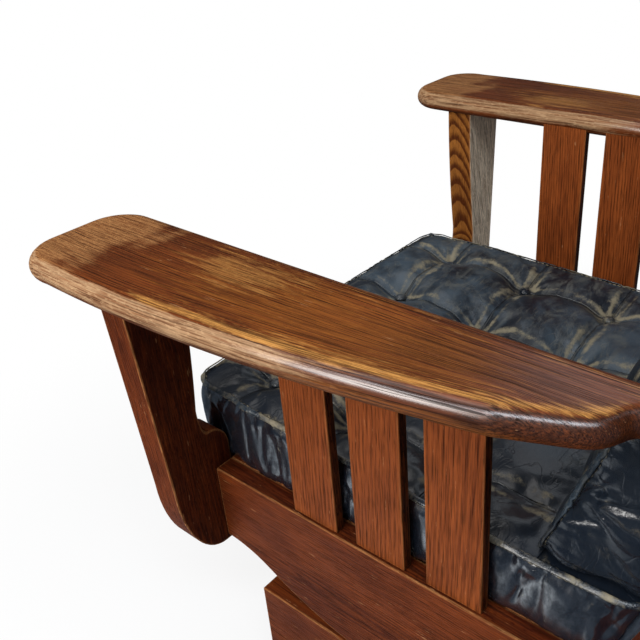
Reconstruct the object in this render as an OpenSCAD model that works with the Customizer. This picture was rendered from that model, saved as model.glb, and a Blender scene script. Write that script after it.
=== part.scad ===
// Oak platform rocking chair with paddle arms, side slats and loose tufted cushions.
// The seat frame rocks on two cam shaped side rails that rest on a low base,
// and four coil springs tie it to the base. Front is -Y, floor is z = 0.

/* [Seat frame] */
// Height of the side rails' top edge above the floor
rail_top = 330; // [300:1:380]
// Width over the two side rails
frame_w = 564; // [500:1:640]
// Thickness of the side rails
rail_t = 25.4; // [20:0.1:32]
// Depth of a side rail at its front end
rail_front_h = 107; // [90:1:120]
// Depth of a side rail at its cam
cam_h = 170; // [160:1:185]
// Radius of the cam
cam_r = 400; // [340:1:480]
// Radius of the hollow that leads from the front end into the cam
cove_r = 156; // [120:1:190]
// Seat depth from the front posts' rear face to the back posts, at rail height
seat_d = 475; // [440:1:520]
// Thickness of the front and rear cross rails
cross_t = 22; // [18:0.5:26]
// Height of the front cross rail
front_rail_h = 100; // [70:1:105]
// Height of the rear cross rail
rear_rail_h = 84; // [60:1:90]

/* [Seat deck] */
// Number of deck slats under the cushion
deck_n = 6; // [4:1:8]
// Width of a deck slat
deck_w = 48; // [36:1:54]
// Thickness of a deck slat
deck_t = 14; // [10:0.5:18]
// Side of the square cleats that carry the deck slats
cleat = 20; // [14:1:26]
// Leg length of the triangular corner blocks
block_leg = 48; // [36:1:60]
// Height of the corner blocks
block_h = 45; // [30:1:50]

/* [Front posts] */
// Thickness of the front and back post boards
post_t = 38; // [30:0.5:45]
// Width of a front post under the arm
post_w = 79.5; // [70:0.5:90]
// How far the post's outer edge leans in between arm and rail
post_lean = 16; // [8:0.5:24]
// How far the post's inner edge is hollowed
post_waist = 12.5; // [6:0.5:18]
// Height of the post's widest inner shoulder above the rail top
shoulder_h = 55.5; // [40:0.5:70]
// Drop of the inner shoulder's round
shoulder_drop = 30; // [20:0.5:36]
// Length of the small hollow above the shoulder
hollow_h = 36.5; // [25:0.5:50]
// Width of the small hollow above the shoulder
hollow_w = 10; // [6:0.5:14]
// Depth of the post's round lower end below the rail top
toe_h = 115; // [110:0.5:125]
// Width of the round of the post's lower end
toe_w = 60; // [40:0.5:70]

/* [Arms] */
// Thickness of the arms
arm_t = 26.6; // [20:0.1:34]
// Clear width between the arms
arm_gap = 528; // [510:1:530]
// Width of the arm's paddle near its front
arm_w = 142.5; // [120:0.5:160]
// How far the arm reaches ahead of the front posts' rear face
arm_lead = 103.5; // [80:0.5:125]
// Height of the arm's underside above the rail top, at the front posts' rear face
arm_h = 283.8; // [250:0.1:300]
// Fall of the arm towards the back, in degrees
arm_fall = 1.04; // [0:0.01:3]
// Radius of the arm's two front corners
arm_corner_r = 47; // [30:1:60]
// Radius of the arm's bowed outer edge
arm_bow_r = 1784; // [1400:1:2600]
// Radius of the arm's rear shoulder
arm_shoulder_r = 34; // [24:1:44]
// Distance of the rear shoulder's centre behind the front posts
arm_shoulder_y = 452; // [430:1:465]
// Distance of the rear shoulder's centre from the arm's inner edge
arm_shoulder_x = 40; // [36:0.5:48]
// Width of the arm's neck at the back post
neck_w = 35; // [30:0.5:40]
// Radius of the cove between shoulder and neck
neck_cove_r = 16; // [10:1:22]

/* [Side slats] */
// Number of slats in each side
side_n = 3; // [2:1:4]
// Width of the side and back slats
slat_w = 64.5; // [50:0.5:66]
// Thickness of the side and back slats
slat_t = 12.5; // [9:0.5:14]
// Gap between two side slats
side_gap = 23.2; // [16:0.1:30]
// Distance of the first side slat behind the front post
side_first = 123.8; // [90:0.1:130]
// How far the side slats stand in from the rail's outer face
side_inset = 3.9; // [2:0.1:8]
// Radius of the slats' long edges
slat_edge_r = 1.6; // [0.8:0.1:3]
// Depth of the side slats' mortises in the arms
mortise = 10; // [8:0.5:12]

/* [Back] */
// Rake of the back, in degrees from upright
rake = 20; // [12:0.5:26]
// Length of the back posts above the rail top, along the rake
back_len = 660; // [600:1:720]
// Width of a back post
back_post_w = 42.4; // [38:0.1:52]
// Radius of the back posts' top corners
back_top_r = 14; // [6:1:18]
// Number of back slats
back_n = 5; // [3:1:6]
// Thickness of the crest rail and the lower back rail
back_rail_t = 24; // [18:0.5:30]
// Height of the crest rail at its ends
crest_h = 84; // [60:1:110]
// Rise of the crest rail's bowed top
crest_rise = 16; // [6:1:24]
// Distance of the crest rail's ends below the posts' top
crest_drop = 20; // [10:1:28]
// Height of the lower back rail
low_rail_h = 60; // [45:1:75]
// Height of the lower back rail's lower edge above the rail top
low_rail_z = 104; // [90:1:130]

/* [Cushions] */
// Width of the cushions over their bulging sides
cushion_w = 512; // [480:1:512]
// Height of the seat cushion's front seam above its underside
seat_cushion_h = 94; // [80:1:120]
// How far the seat cushion reaches ahead of the front posts' rear face
seat_cushion_lead = 54; // [40:1:70]
// How much the seat cushion falls towards the back
seat_cushion_fall = 18; // [0:1:25]
// Depth of the hollow that sitters have pressed into the seat cushion
sag = 26; // [0:1:30]
// Thickness of the back cushion's boxing
back_cushion_t = 99.5; // [80:0.5:102]
// Height of the back cushion along the rake
back_cushion_l = 530; // [480:1:545]
// Rise of the cushions' crown above the seams
crown = 17; // [6:1:22]
// Bulge of the boxing between the seams
bulge = 3.5; // [1:0.5:6]
// How far the cushions' corners are drawn in
draw_in = 4; // [1:0.5:8]
// Pitch of the tufting buttons
tuft_pitch = 126; // [100:1:126]
// Distance of the seat cushion's first tuft row behind its front edge
seat_tuft_y = 79; // [60:1:90]
// Number of buttons in each row across
tuft_n = 4; // [3:1:4]
// Depth of a tuft
tuft_d = 13; // [6:1:16]
// Radius of a tuft
tuft_r = 34; // [24:1:44]
// Depth of the channels between the tufts
channel_d = 6; // [2:1:8]
// Half width of the channels between the tufts
channel_r = 14; // [10:1:22]
// Diameter of a button
button_d = 16; // [12:1:22]
// Height of a button
button_h = 5.5; // [4:0.5:8]

/* [Base] */
// Depth of the base side boards below their track
base_h = 84; // [60:1:100]
// Distance of the base's front end behind the front posts' rear face
base_start = 52; // [40:1:80]
// Length of the base side boards
base_len = 500; // [470:1:560]
// Length of each foot of a base side board
foot_len = 84; // [70:1:110]
// Radius of the arch's upper corners in a base side board
arch_r = 40; // [20:1:50]
// Height of the base cross rails
base_rail_h = 58; // [45:1:64]
// Distance of each base cross rail from its end of the base
base_rail_in = 30; // [20:1:50]
// Diameter of the floor glides
glide_d = 22; // [16:1:24]
// Height of the floor glides
glide_h = 4; // [3:0.5:6]

/* [Rocking] */
// Rocking angle to the back, in degrees
rock_back = 8; // [4:0.5:9]
// Rocking angle to the front, in degrees
rock_front = 6; // [3:0.5:8]

/* [Springs] */
// Distance between the two springs of one side
spring_gap = 92; // [80:1:110]
// Outer diameter of a spring
spring_d = 30; // [26:1:34]
// Diameter of the spring wire
wire_d = 3.6; // [3:0.1:4.4]
// Number of turns of a spring
turns = 8; // [6:1:10]
// Thickness of the spring brackets' plates
iron_t = 4; // [3:0.5:5]
// Length of a spring bracket
bracket_l = 150; // [144:1:160]
// How far a bracket's shelf reaches inwards
bracket_w = 42; // [38:1:52]
// Height of a bracket's wall plate
bracket_h = 44; // [36:1:50]
// Depth of the upper bracket's shelf above the track
shelf_up = 20; // [18:1:26]
// Depth of the lower bracket's shelf below the track
shelf_down = 62; // [56:1:70]

/* [Fixings] */
// Diameter of the dowels
dowel_d = 10; // [8:0.5:11]
// Length of the dowels
dowel_l = 36; // [28:1:40]
// Diameter of the screw heads
screw_d = 9; // [7:0.5:11]
// Length of the screws
screw_l = 22; // [16:1:24]

/* [Hidden] */

// Overrun of every cut past the surface that it opens
over = 1;
// Clearance of a dowel or screw in its hole
fit = 0.05;
// Gap that soft pieces keep from what carries them
soft = 0.3;
// Gap that the cams keep from their tracks
run = 0.3;
// Facets of the arms' round edges, of round holes and of the long arcs
nose_fn = 24;
hole_fn = 48;
arc_fn = 360;
// Steps of the arms' bowed edge and of the curves in the boards' outlines
bow_n = 9;
toe_n = 14;
waist_n = 8;
shoulder_n = 9;
cove_n = 10;
cam_n = 36;
crest_n = 32;
arch_n = 8;

rail_out = frame_w / 2;
rail_in = rail_out - rail_t;
rail_mid = rail_out - rail_t / 2;
back_out = rail_in + back_post_w;
track_z = -cam_h;
cam_turn = acos(1 - (cam_h - rail_front_h) / (cam_r + cove_r));
cam_y = (cam_r + cove_r) * sin(cam_turn);
arm_in = arm_gap / 2;
arm_out = arm_in + arm_w;
nose = arm_t / 2;
neck_out = arm_in + neck_w;

// Foremost and rearmost points, so that the origin lies under the middle of the chair
front_y = -(arm_lead - nose) * cos(arm_fall) + nose * sin(arm_fall) - nose;
rear_y = seat_d + post_t * cos(rake) + back_len * sin(rake);
mid_y = (front_y + rear_y) / 2;

// Points of an arc or of a part of an ellipse, from the first angle to the second
function arc(c, r, a0, a1, n, first = 0) =
    [for (i = [first:n]) let (a = a0 + (a1 - a0) * i / n) [c.x + r.x * cos(a), c.y + r.y * sin(a)]];

// Height of the arms' underside above the rail top
function under_arm(y) = arm_h - y * tan(arm_fall);

// The chair's own frame: y = 0 is the front posts' rear face and z = 0 is the rail top
module in_place() translate([0, -mid_y, rail_top]) children();

// The back's frame inside it: y = 0 is the posts' front face and z runs up along the rake
module in_back() translate([0, seat_d, 0]) rotate([-rake, 0, 0]) children();

// Mirrors a piece that is drawn for the sitter's left, which is +X, to side s
module on_side(s) mirror([s < 0 ? 1 : 0, 0, 0]) children();
module on_both() for (s = [-1, 1]) on_side(s) children();

// Turns a side view, with its points as [y, z], into a board from x0 to x1
module side_board(x0, x1) translate([x0, 0, 0]) rotate([90, 0, 90]) linear_extrude(x1 - x0) children();

// Turns a front view, with its points as [x, z], into a board from y0 to y1
module front_board(y0, y1) translate([0, y1, 0]) rotate([90, 0, 0]) linear_extrude(y1 - y0) children();

// Dowels as solids, or as the holes that take them
module dowel(turn, l, hole) rotate(turn) cylinder(
    d = dowel_d + (hole ? 2 * fit : 0), h = l + (hole ? 2 * fit : 0), center = true, $fn = hole_fn);
along_x = [0, 90, 0];
along_y = [90, 0, 0];
along_z = [0, 0, 0];
dowel_step = rail_front_h / 3;
arm_dowel_l = 1.4 * arm_t;

module side_dowels(hole) for (k = [1, 2]) {
    translate([rail_mid, 0, -k * dowel_step]) dowel(along_y, dowel_l, hole);
    in_back() translate([rail_mid, 0, -k * dowel_step]) dowel(along_y, dowel_l, hole);
}

module arm_dowels(hole) {
    for (k = [1, 2]) translate([rail_out + k * post_w / 3, -post_t / 2, arm_h])
        dowel(along_z, arm_dowel_l, hole);
    in_back() translate([arm_in + neck_w / 2, 0, neck_z]) dowel(along_y, dowel_l, hole);
}
neck_z = (arm_h + nose - (seat_d + arm_h * tan(rake)) * tan(arm_fall)) / cos(rake);

module cross_dowels(hole) for (k = [0.5, 1.5]) {
    translate([rail_in, -post_t / 2, -k * dowel_step]) dowel(along_x, dowel_l, hole);
    translate([rail_in, rear_rail_y + cross_t / 2, -k * rear_rail_h / 3]) dowel(along_x, dowel_l, hole);
}

module back_dowels(hole) in_back() for (k = [1, 2]) {
    translate([rail_in, back_rail_t / 2, crest_z + k * crest_h / 3]) dowel(along_x, dowel_l, hole);
    translate([rail_in, back_rail_t / 2, low_z + k * low_rail_h / 3]) dowel(along_x, dowel_l, hole);
}

module foot_dowels(hole) for (y = base_rail_ys, k = [1, 2])
    translate([rail_in, y, base_rail_z + k * base_rail_h / 3]) dowel(along_x, dowel_l, hole);

module frame_dowels() color("burlywood") in_place() on_both() {
    side_dowels(false);
    arm_dowels(false);
    cross_dowels(false);
    back_dowels(false);
}

module base_dowels() color("burlywood") in_place() on_both() foot_dowels(false);

// A round headed screw that points to +x, with its head on the surface at x = 0
module screw(l, hole) {
    grow = hole ? 2 * fit : 0;
    rotate([0, 90, 0]) cylinder(d = screw_d / 2 + grow, h = l + grow, $fn = hole_fn);
    if (!hole) rotate([0, 90, 0]) intersection() {
        sphere(d = screw_d, $fn = hole_fn);
        translate([0, 0, -screw_d / 2]) cylinder(d = screw_d, h = screw_d / 2, $fn = hole_fn);
    }
}

// Arm: a paddle with a half round edge, a rear shoulder and a neck to the back post
bow_shares = [for (i = [0:bow_n]) i / bow_n];
bow_front = arm_corner_r - arm_lead;
bow_rear = arm_shoulder_y - arm_corner_r;
function bow(y) = arm_out - arm_bow_r + sqrt(pow(arm_bow_r - nose, 2) - y * y);

// A disc with a half round rim
module nosed_disc(r) rotate_extrude($fn = 2 * nose_fn) {
    translate([r - nose, 0]) intersection() {
        circle(nose, $fn = nose_fn);
        translate([0, -nose]) square([nose, arm_t]);
    }
    translate([0, -nose]) square([r - nose, arm_t]);
}

module bead(x, y) translate([x, y, 0]) sphere(nose, $fn = nose_fn);

module arm_shape() {
    shoulder = [arm_in + arm_shoulder_x, arm_shoulder_y];
    neck_start = shoulder.y + arm_shoulder_r;
    neck_end = seat_d + (arm_h + arm_t) * tan(rake) + post_t;
    hull() {
        translate([arm_in + arm_corner_r, bow_front, 0]) nosed_disc(arm_corner_r);
        translate([arm_out - arm_corner_r, bow_front, 0]) nosed_disc(arm_corner_r);
        for (k = bow_shares) let (y = bow_front + k * (bow_rear - bow_front)) bead(bow(y), y);
        translate([shoulder.x, shoulder.y, 0]) nosed_disc(arm_shoulder_r);
        bead(arm_in + nose, neck_start - nose);
    }
    hull() for (x = [arm_in + nose, neck_out - nose], y = [shoulder.y, neck_end]) bead(x, y);
    // Cove that blends the shoulder into the neck
    translate([neck_out + neck_cove_r, neck_start + neck_cove_r - nose / 4, 0]) rotate([0, 0, 180])
        rotate_extrude(angle = 90, $fn = 2 * nose_fn) translate([neck_cove_r + nose, 0]) {
            intersection() {
                circle(nose, $fn = nose_fn);
                translate([-nose, -nose]) square([nose, arm_t]);
            }
            translate([0, -nose]) square([nose / 2, arm_t]);
        }
}

module arm(s) color("saddlebrown") in_place() on_side(s) difference() {
    translate([0, 0, arm_h]) rotate([-arm_fall, 0, 0]) translate([0, 0, nose]) arm_shape();
    in_back() cube([arm_out, seat_d, back_len]);
    arm_dowels(true);
    for (i = [1:side_n]) slat_board(i, fit);
}

// Front post: hollowed inner edge, round inner shoulder and a round lower end
post_top = arm_h + post_t * tan(arm_fall);
waist_z = shoulder_h + hollow_h;
waist_x = rail_out + post_waist - hollow_w;
function post_outline() = concat(
    [[rail_in, -toe_h]],
    arc([rail_out + post_w - post_lean - toe_w, 0], [toe_w, toe_h], -90, 0, toe_n),
    [[rail_out + post_w, post_top]],
    [for (k = [0:1 / waist_n:1]) [rail_out + post_waist * k * k, post_top * (1 - k) + waist_z * k]],
    arc([waist_x, waist_z], [hollow_w, hollow_h], 0, -90, shoulder_n, 1),
    arc([waist_x, shoulder_h - shoulder_drop], [waist_x - rail_in, shoulder_drop], 90, 180, shoulder_n, 1)
);

module front_post(s) color("sienna") in_place() on_side(s) difference() {
    intersection() {
        front_board(-post_t, 0) polygon(post_outline());
        side_board(rail_in - over, arm_out) polygon([
            [-post_t, -toe_h - over], [0, -toe_h - over], [0, under_arm(0)], [-post_t, under_arm(-post_t)]]);
    }
    side_dowels(true);
    arm_dowels(true);
    cross_dowels(true);
}

// Side rail: straight top, hollow and cam below, raked rear end against the back post
cam_c = [cam_y, cam_r + track_z];
down_rake = [-sin(rake), -cos(rake)];
to_cam = [cam_c.x - seat_d, cam_c.y];
rake_run = to_cam * down_rake + sqrt(pow(cam_r, 2) - to_cam * to_cam + pow(to_cam * down_rake, 2));
rail_rear = [seat_d, 0] + rake_run * down_rake;
rail_rear_a = atan2(rail_rear.y - cam_c.y, rail_rear.x - cam_c.x);
function rail_outline() = concat(
    [[0, 0]],
    arc([0, -rail_front_h - cove_r], [cove_r, cove_r], 90, 90 - cam_turn, cove_n),
    arc(cam_c, [cam_r, cam_r], -90 - cam_turn, rail_rear_a, cam_n, 1),
    [[seat_d, 0]]
);

module side_rail(s) color("sienna") in_place() on_side(s) difference() {
    side_board(rail_in, rail_out) polygon(rail_outline());
    side_dowels(true);
    cross_dowels(true);
    cleat_screw_row(true);
    upper_screw_row(true);
}

// Cross section of a slat with rounded edges, its width along x and its thickness along y,
// grown all round for the mortise that takes it
module slat_section(grow = 0) translate([-grow, -grow]) {
    r = slat_edge_r + grow;
    w = slat_w + 2 * grow;
    t = slat_t + 2 * grow;
    translate([r, 0]) square([w - 2 * r, t]);
    translate([0, r]) square([w, t - 2 * r]);
    for (x = [r, w - r], y = [r, t - r]) translate([x, y]) circle(r, $fn = nose_fn);
}

// Side slat i from the rail top into its mortise, whose roof falls with the arm
module slat_board(i, grow = 0) {
    y0 = side_first + (i - 1) * (slat_w + side_gap);
    y1 = y0 + slat_w;
    roof = mortise + grow;
    intersection() {
        translate([rail_out - side_inset, y0, 0]) rotate([0, 0, 90])
            linear_extrude(arm_h + roof) slat_section(grow);
        side_board(rail_in - over, rail_out + over) polygon([
            [y0 - over, 0], [y1 + over, 0],
            [y1 + over, under_arm(y1 + over) + roof], [y0 - over, under_arm(y0 - over) + roof]]);
    }
}

module side_slat(s, i) color("peru") in_place() on_side(s) slat_board(i);

// Cross rails between the sides
rear_rail_y = seat_d - rear_rail_h * tan(rake) - cross_t;
module cross_rail(y, h) color("sienna") in_place() difference() {
    translate([-rail_in, y, -h]) cube([2 * rail_in, cross_t, h]);
    on_both() cross_dowels(true);
}

// Back post: a raked board with round top corners and a level foot, which side rail and arm butt against
back_foot = cam_h / cos(rake);
module back_post(s) color("sienna") in_place() on_side(s) difference() {
    in_back() front_board(0, post_t) {
        translate([rail_in, -back_foot]) square([back_post_w, back_foot + back_len - back_top_r]);
        translate([rail_in + back_top_r, -back_foot])
            square([back_post_w - 2 * back_top_r, back_foot + back_len]);
        for (x = [rail_in + back_top_r, back_out - back_top_r])
            translate([x, back_len - back_top_r]) circle(back_top_r, $fn = hole_fn);
    }
    translate([rail_in - over, 0, rail_rear.y - rail_top]) cube([back_post_w + 2 * over, rear_y, rail_top]);
    side_dowels(true);
    arm_dowels(true);
    back_dowels(true);
}

crest_z = back_len - crest_drop - crest_h;
crest_r = (pow(rail_in, 2) + pow(crest_rise, 2)) / (2 * crest_rise);
crest_turn = asin(rail_in / crest_r);
module crest_rail() color("sienna") in_place() difference() {
    in_back() front_board(0, back_rail_t) polygon(concat(
        [[-rail_in, crest_z], [rail_in, crest_z]],
        arc([0, crest_z + crest_h + crest_rise - crest_r], [crest_r, crest_r],
            90 - crest_turn, 90 + crest_turn, crest_n)));
    on_both() back_dowels(true);
}

low_z = low_rail_z / cos(rake);
module lower_back_rail() color("sienna") in_place() difference() {
    in_back() translate([-rail_in, 0, low_z]) cube([2 * rail_in, back_rail_t, low_rail_h]);
    on_both() back_dowels(true);
}

back_space = (2 * rail_in - back_n * slat_w) / (back_n + 1);
module back_slat(i) color("peru") in_place() in_back()
    translate([-rail_in + i * back_space + (i - 1) * slat_w, (back_rail_t - slat_t) / 2, low_z + low_rail_h])
        linear_extrude(crest_z - low_z - low_rail_h) slat_section();

// Deck: cleats along the side rails and slats across them, flush with the rail top
deck_step = (rear_rail_y - deck_w) / (deck_n - 1);
cleat_screw_n = 5;
module cleat_screw_row(hole) for (i = [0.5:cleat_screw_n])
    translate([rail_in - cleat, i * rear_rail_y / cleat_screw_n, -deck_t - cleat / 2])
        screw(cleat + rail_t / 2, hole);

module seat_cleats() color("burlywood") in_place() on_both() difference() {
    translate([rail_in - cleat, 0, -deck_t - cleat]) cube([cleat, rear_rail_y, cleat]);
    cleat_screw_row(true);
}

module cleat_screws() color("dimgray") in_place() on_both() cleat_screw_row(false);

module deck_slat(i) color("burlywood") in_place()
    translate([-rail_in, (i - 1) * deck_step, -deck_t]) cube([2 * rail_in, deck_w, deck_t]);

// Glue blocks in the four inner corners, below the cleats
module corner_blocks() color("burlywood") in_place() on_both()
    for (c = [[(cross_t - post_t) / 2, 1], [rear_rail_y, -1]])
        translate([rail_in, c[0], -deck_t - cleat - block_h]) linear_extrude(block_h)
            polygon([[0, 0], [-block_leg, 0], [0, c[1] * block_leg]]);

// Cushions: a flat underside, boxing that bulges, and a crowned and tufted top. Places
// across run from the middle, places along run from the front or lower end.
margin_steps = 3;
pitch_steps = 4;
function steps(from, to, n) = [for (i = [1:n]) from + (to - from) * i / n];
function stops(points, counts) = concat([points[0]],
    [for (i = [0:len(counts) - 1]) each steps(points[i], points[i + 1], counts[i])]);

tuft_xs = [for (i = [0:tuft_n - 1]) (i - (tuft_n - 1) / 2) * tuft_pitch];
cushion_half = cushion_w / 2 - bulge;
across = stops(concat([-cushion_half], tuft_xs, [cushion_half]),
    concat([margin_steps], [for (i = [2:tuft_n]) pitch_steps], [margin_steps]));

// Where the back cushion stands on the seat cushion, measured at the seat cushion's top
press_z = seat_cushion_h - seat_cushion_fall + soft;
press_y = seat_d + press_z * tan(rake) - (back_cushion_t + soft) / cos(rake);
seat_l = seat_cushion_lead + seat_d - soft / cos(rake);
seat_stretch = 1 + press_z * tan(rake) / seat_l;
seat_press = (seat_cushion_lead + press_y - crown / 2) / seat_stretch;
seat_rows_n = 3;
seat_rows = [for (i = [0:seat_rows_n - 1]) (seat_tuft_y + i * tuft_pitch) / seat_stretch];
seat_along = stops(concat([0], seat_rows, [seat_press, seat_l]),
    concat([margin_steps], [for (i = [1:seat_rows_n]) pitch_steps], [margin_steps]));

back_rows_n = 4;
back_stretch = 1 + back_cushion_t * tan(rake) / back_cushion_l;
back_rows = [for (i = [0:back_rows_n - 1])
    back_cushion_l / 2 + (i - (back_rows_n - 1) / 2) * tuft_pitch / back_stretch];
back_along = stops(concat([0], back_rows, [back_cushion_l]),
    concat([margin_steps], [for (i = [2:back_rows_n]) pitch_steps], [margin_steps]));

function dent(d, r) = exp(-pow(d / r, 2));
function near(v, list) = min([for (p = list) abs(v - p)]);
function swell(u) = 1 - pow(abs(u), 4);

// Share of the sag at share t of the top's length: 1 at two thirds, nothing at both ends
function sink(t) = 27 / 4 * t * t * (1 - t);

// A cushion is described by [l, top_l, h0, fall, sag, rows, lean]: its length at its underside, the
// length of its crowned top, its seam height at the start and that height's fall over top_l, the depth
// of its sag, its tuft rows, and lean = [a, b], which shifts it along by its height times a at its
// start and b at its end.
function seam(c, v) = c[2] - c[3] * min(1, v / c[1]);
function leant(c, v, z) = v + z * (c[6][0] * (1 - v / c[0]) + c[6][1] * v / c[0]);

// Height of a cushion's top at x and v: seam, crown, sag, channels and tufts
function tuft_top(c, x, v) = v >= c[1] ? seam(c, v) : let (
    t = v / c[1],
    a = x / cushion_half,
    rise = swell(a) * swell(2 * t - 1),
    sew = min(1, 4 * rise)
) seam(c, v) + crown * rise - c[4] * (1 - a * a) * sink(t) - sew * (
    channel_d * max(dent(near(x, tuft_xs), channel_r), dent(near(v, c[5]), channel_r))
    + tuft_d * dent(norm([near(x, tuft_xs), near(v, c[5])]), tuft_r));

// The whole cushion; flat_start leaves the boxing at its start unbulged
module cushion(c, along, flat_start = false) {
    l = c[0];
    nx = len(across) - 1;
    ny = len(along) - 1;
    rim = concat([for (i = [0:nx]) [i, 0]], [for (j = [1:ny]) [nx, j]],
        [for (i = [nx - 1:-1:0]) [i, ny]], [for (j = [ny - 1:-1:1]) [0, j]]);
    m = len(rim);
    function place(x, v, z, out) = let (
        a = x / cushion_half,
        b = 2 * v / l - 1,
        side = abs(a) == 1 ? sign(a) : 0,
        end = b == 1 ? 1 : b == -1 && !flat_start ? -1 : 0
    ) [
        x - a * draw_in * pow(b, 6) + side * out,
        leant(c, v, z) - b * draw_in * pow(a, 6) + end * out,
        z
    ];
    top = [for (v = along, x = across) place(x, v, tuft_top(c, x, v), 0)];
    mid = [for (q = rim) place(across[q.x], along[q.y], seam(c, along[q.y]) / 2, bulge)];
    low = [for (q = rim) place(across[q.x], along[q.y], 0, 0)];
    base = len(top);
    function at(q) = q.y * (nx + 1) + q.x;
    polyhedron(concat(top, mid, low, [[0, l / 2, 0]]), concat(
        [for (j = [0:ny - 1], i = [0:nx - 1]) each let (a = at([i, j]), b = at([i, j + 1])) [
            [a, b, a + 1], [a + 1, b, b + 1]]],
        [for (k = [0:m - 1]) each let (n = (k + 1) % m, a = at(rim[k]), b = at(rim[n])) [
            [a, b, base + k], [b, base + n, base + k],
            [base + k, base + n, base + m + k], [base + n, base + m + n, base + m + k],
            [base + m + k, base + m + n, base + 2 * m]]]));
}

// Places what sits in the tufts
module at_tufts(c) for (x = tuft_xs, v = c[5])
    let (z = tuft_top(c, x, v)) translate([x, leant(c, v, z), z]) children();

module pocket() cylinder(d = button_d + 4 * soft, h = crown + tuft_d, $fn = nose_fn);
module button() translate([0, 0, soft]) intersection() {
    cylinder(d = button_d, h = button_h, $fn = hole_fn);
    dome_r = (pow(button_d / 2, 2) + pow(button_h, 2)) / (2 * button_h);
    translate([0, 0, button_h - dome_r]) sphere(dome_r, $fn = hole_fn);
}

seat_form = [seat_l, seat_press, seat_cushion_h, seat_cushion_fall, sag, seat_rows, [0, tan(rake)]];
module on_seat() in_place() translate([0, -seat_cushion_lead, soft]) children();
module seat_cushion() color("darkslategray") on_seat() difference() {
    cushion(seat_form, seat_along);
    at_tufts(seat_form) pocket();
}
module seat_buttons() color("slategray") on_seat() at_tufts(seat_form) button();

// The back cushion leans on the back, and its lower end is level where it stands on the seat cushion
back_form = [back_cushion_l, back_cushion_l, back_cushion_t, 0, 0, back_rows, [-tan(rake), 0]];
back_cushion_z = (press_z + soft - soft * sin(rake)) / cos(rake);
module on_back() in_place() in_back() translate([0, -soft, back_cushion_z]) rotate([90, 0, 0]) children();
module back_cushion() color("darkslategray") on_back() difference() {
    cushion(back_form, back_along, true);
    at_tufts(back_form) pocket();
}
module back_buttons() color("slategray") on_back() at_tufts(back_form) button();

// Spring brackets: a wall plate, a shelf, a rib and two bosses that centre the springs
shelf_mid = rail_in - (bracket_w + iron_t) / 2;
spring_ys = [cam_y - spring_gap / 2, cam_y + spring_gap / 2];
ring_n = 8;
wire_n = 6;
coil_r = (spring_d - wire_d) / 2;
boss_r = coil_r * cos(180 / ring_n) - wire_d / 2 - run;
upper_z = track_z + shelf_up;
lower_z = track_z - shelf_down;
spring_l = upper_z - lower_z;
bracket_holes = [for (s = [-1, 1], d = [1.6 * screw_d, bracket_l / 2 - screw_d]) cam_y + s * d];

// Bracket with its shelf's spring side at z = 0 and its wall plate upwards
module bracket() difference() {
    union() {
        translate([rail_in - iron_t, cam_y - bracket_l / 2, 0]) cube([iron_t, bracket_l, bracket_h]);
        translate([rail_in - bracket_w, cam_y - bracket_l / 2, 0]) cube([bracket_w, bracket_l, iron_t]);
        front_board(cam_y - iron_t / 2, cam_y + iron_t / 2) polygon([
            [rail_in - bracket_w, 0], [rail_in, 0], [rail_in, bracket_h - iron_t],
            [rail_in - iron_t, bracket_h - iron_t], [rail_in - bracket_w, iron_t]]);
    }
    bracket_screw_row(true);
}
module bracket_screw_row(hole) for (y = bracket_holes)
    translate([rail_in - iron_t, y, bracket_h / 2 + iron_t]) screw(screw_l, hole);
module bosses(turn) for (y = spring_ys) translate([shelf_mid, y, 0]) rotate([turn, 0, 0])
    cylinder(r = boss_r, h = 2 * wire_d, $fn = hole_fn);

module upper_screw_row(hole) translate([0, 0, upper_z]) bracket_screw_row(hole);
module lower_screw_row(hole) translate([0, 0, lower_z - iron_t]) bracket_screw_row(hole);
module upper_bracket(s) color("dimgray") in_place() on_side(s) translate([0, 0, upper_z]) {
    bracket();
    bosses(180);
}
module lower_bracket(s) color("dimgray") in_place() on_side(s) translate([0, 0, lower_z]) {
    translate([0, 0, -iron_t]) bracket();
    bosses(0);
}
module upper_bracket_screws() color("silver") in_place() on_both() upper_screw_row(false);
module lower_bracket_screws() color("silver") in_place() on_both() lower_screw_row(false);

// Coil spring: one tube along a helix with closed end turns
end_pitch = wire_d + 2 * soft;
mid_pitch = (spring_l - wire_d - 2 * soft - 2 * end_pitch) / (turns - 2);
function coil_z(t) = soft + wire_d / 2 + end_pitch * min(t, 1) + mid_pitch * max(0, min(t, turns - 1) - 1)
    + end_pitch * max(0, t - turns + 1);
function coil_point(t) = [coil_r * cos(360 * t), coil_r * sin(360 * t), coil_z(t)];
coil_path = [for (j = [0:ring_n * turns]) coil_point(j / ring_n)];
coil_gap = min([for (a = [0:len(coil_path) - 1], b = [a + ring_n / 2 + 1:1:len(coil_path) - 1])
    norm(coil_path[a] - coil_path[b])]) - wire_d;
echo(least_gap_of_the_spring_wire_to_itself = coil_gap);

module spring(s, y) color("gray") in_place() on_side(s) translate([shelf_mid, y, lower_z]) {
    n = len(coil_path);
    rise = mid_pitch / (2 * PI * coil_r);
    points = [for (j = [0:n - 1]) let (
        a = 360 * j / ring_n,
        radial = [cos(a), sin(a), 0],
        slope = (j == 0 || j == n - 1) ? 0 : rise,
        ahead = [-sin(a), cos(a), slope] / norm([1, slope]),
        side = cross(ahead, radial)
    ) for (k = [0:wire_n - 1]) let (b = 360 * k / wire_n)
        coil_path[j] + wire_d / 2 * (cos(b) * radial + sin(b) * side)];
    polyhedron(points, concat(
        [for (k = [1:wire_n - 2]) [0, k, k + 1]],
        [for (k = [1:wire_n - 2]) let (e = (n - 1) * wire_n) [e, e + k + 1, e + k]],
        [for (j = [0:n - 2], k = [0:wire_n - 1]) each let (
            a = j * wire_n + k, b = j * wire_n + (k + 1) % wire_n) [
            [a, a + wire_n, b], [b, a + wire_n, b + wire_n]]]));
}

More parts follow.
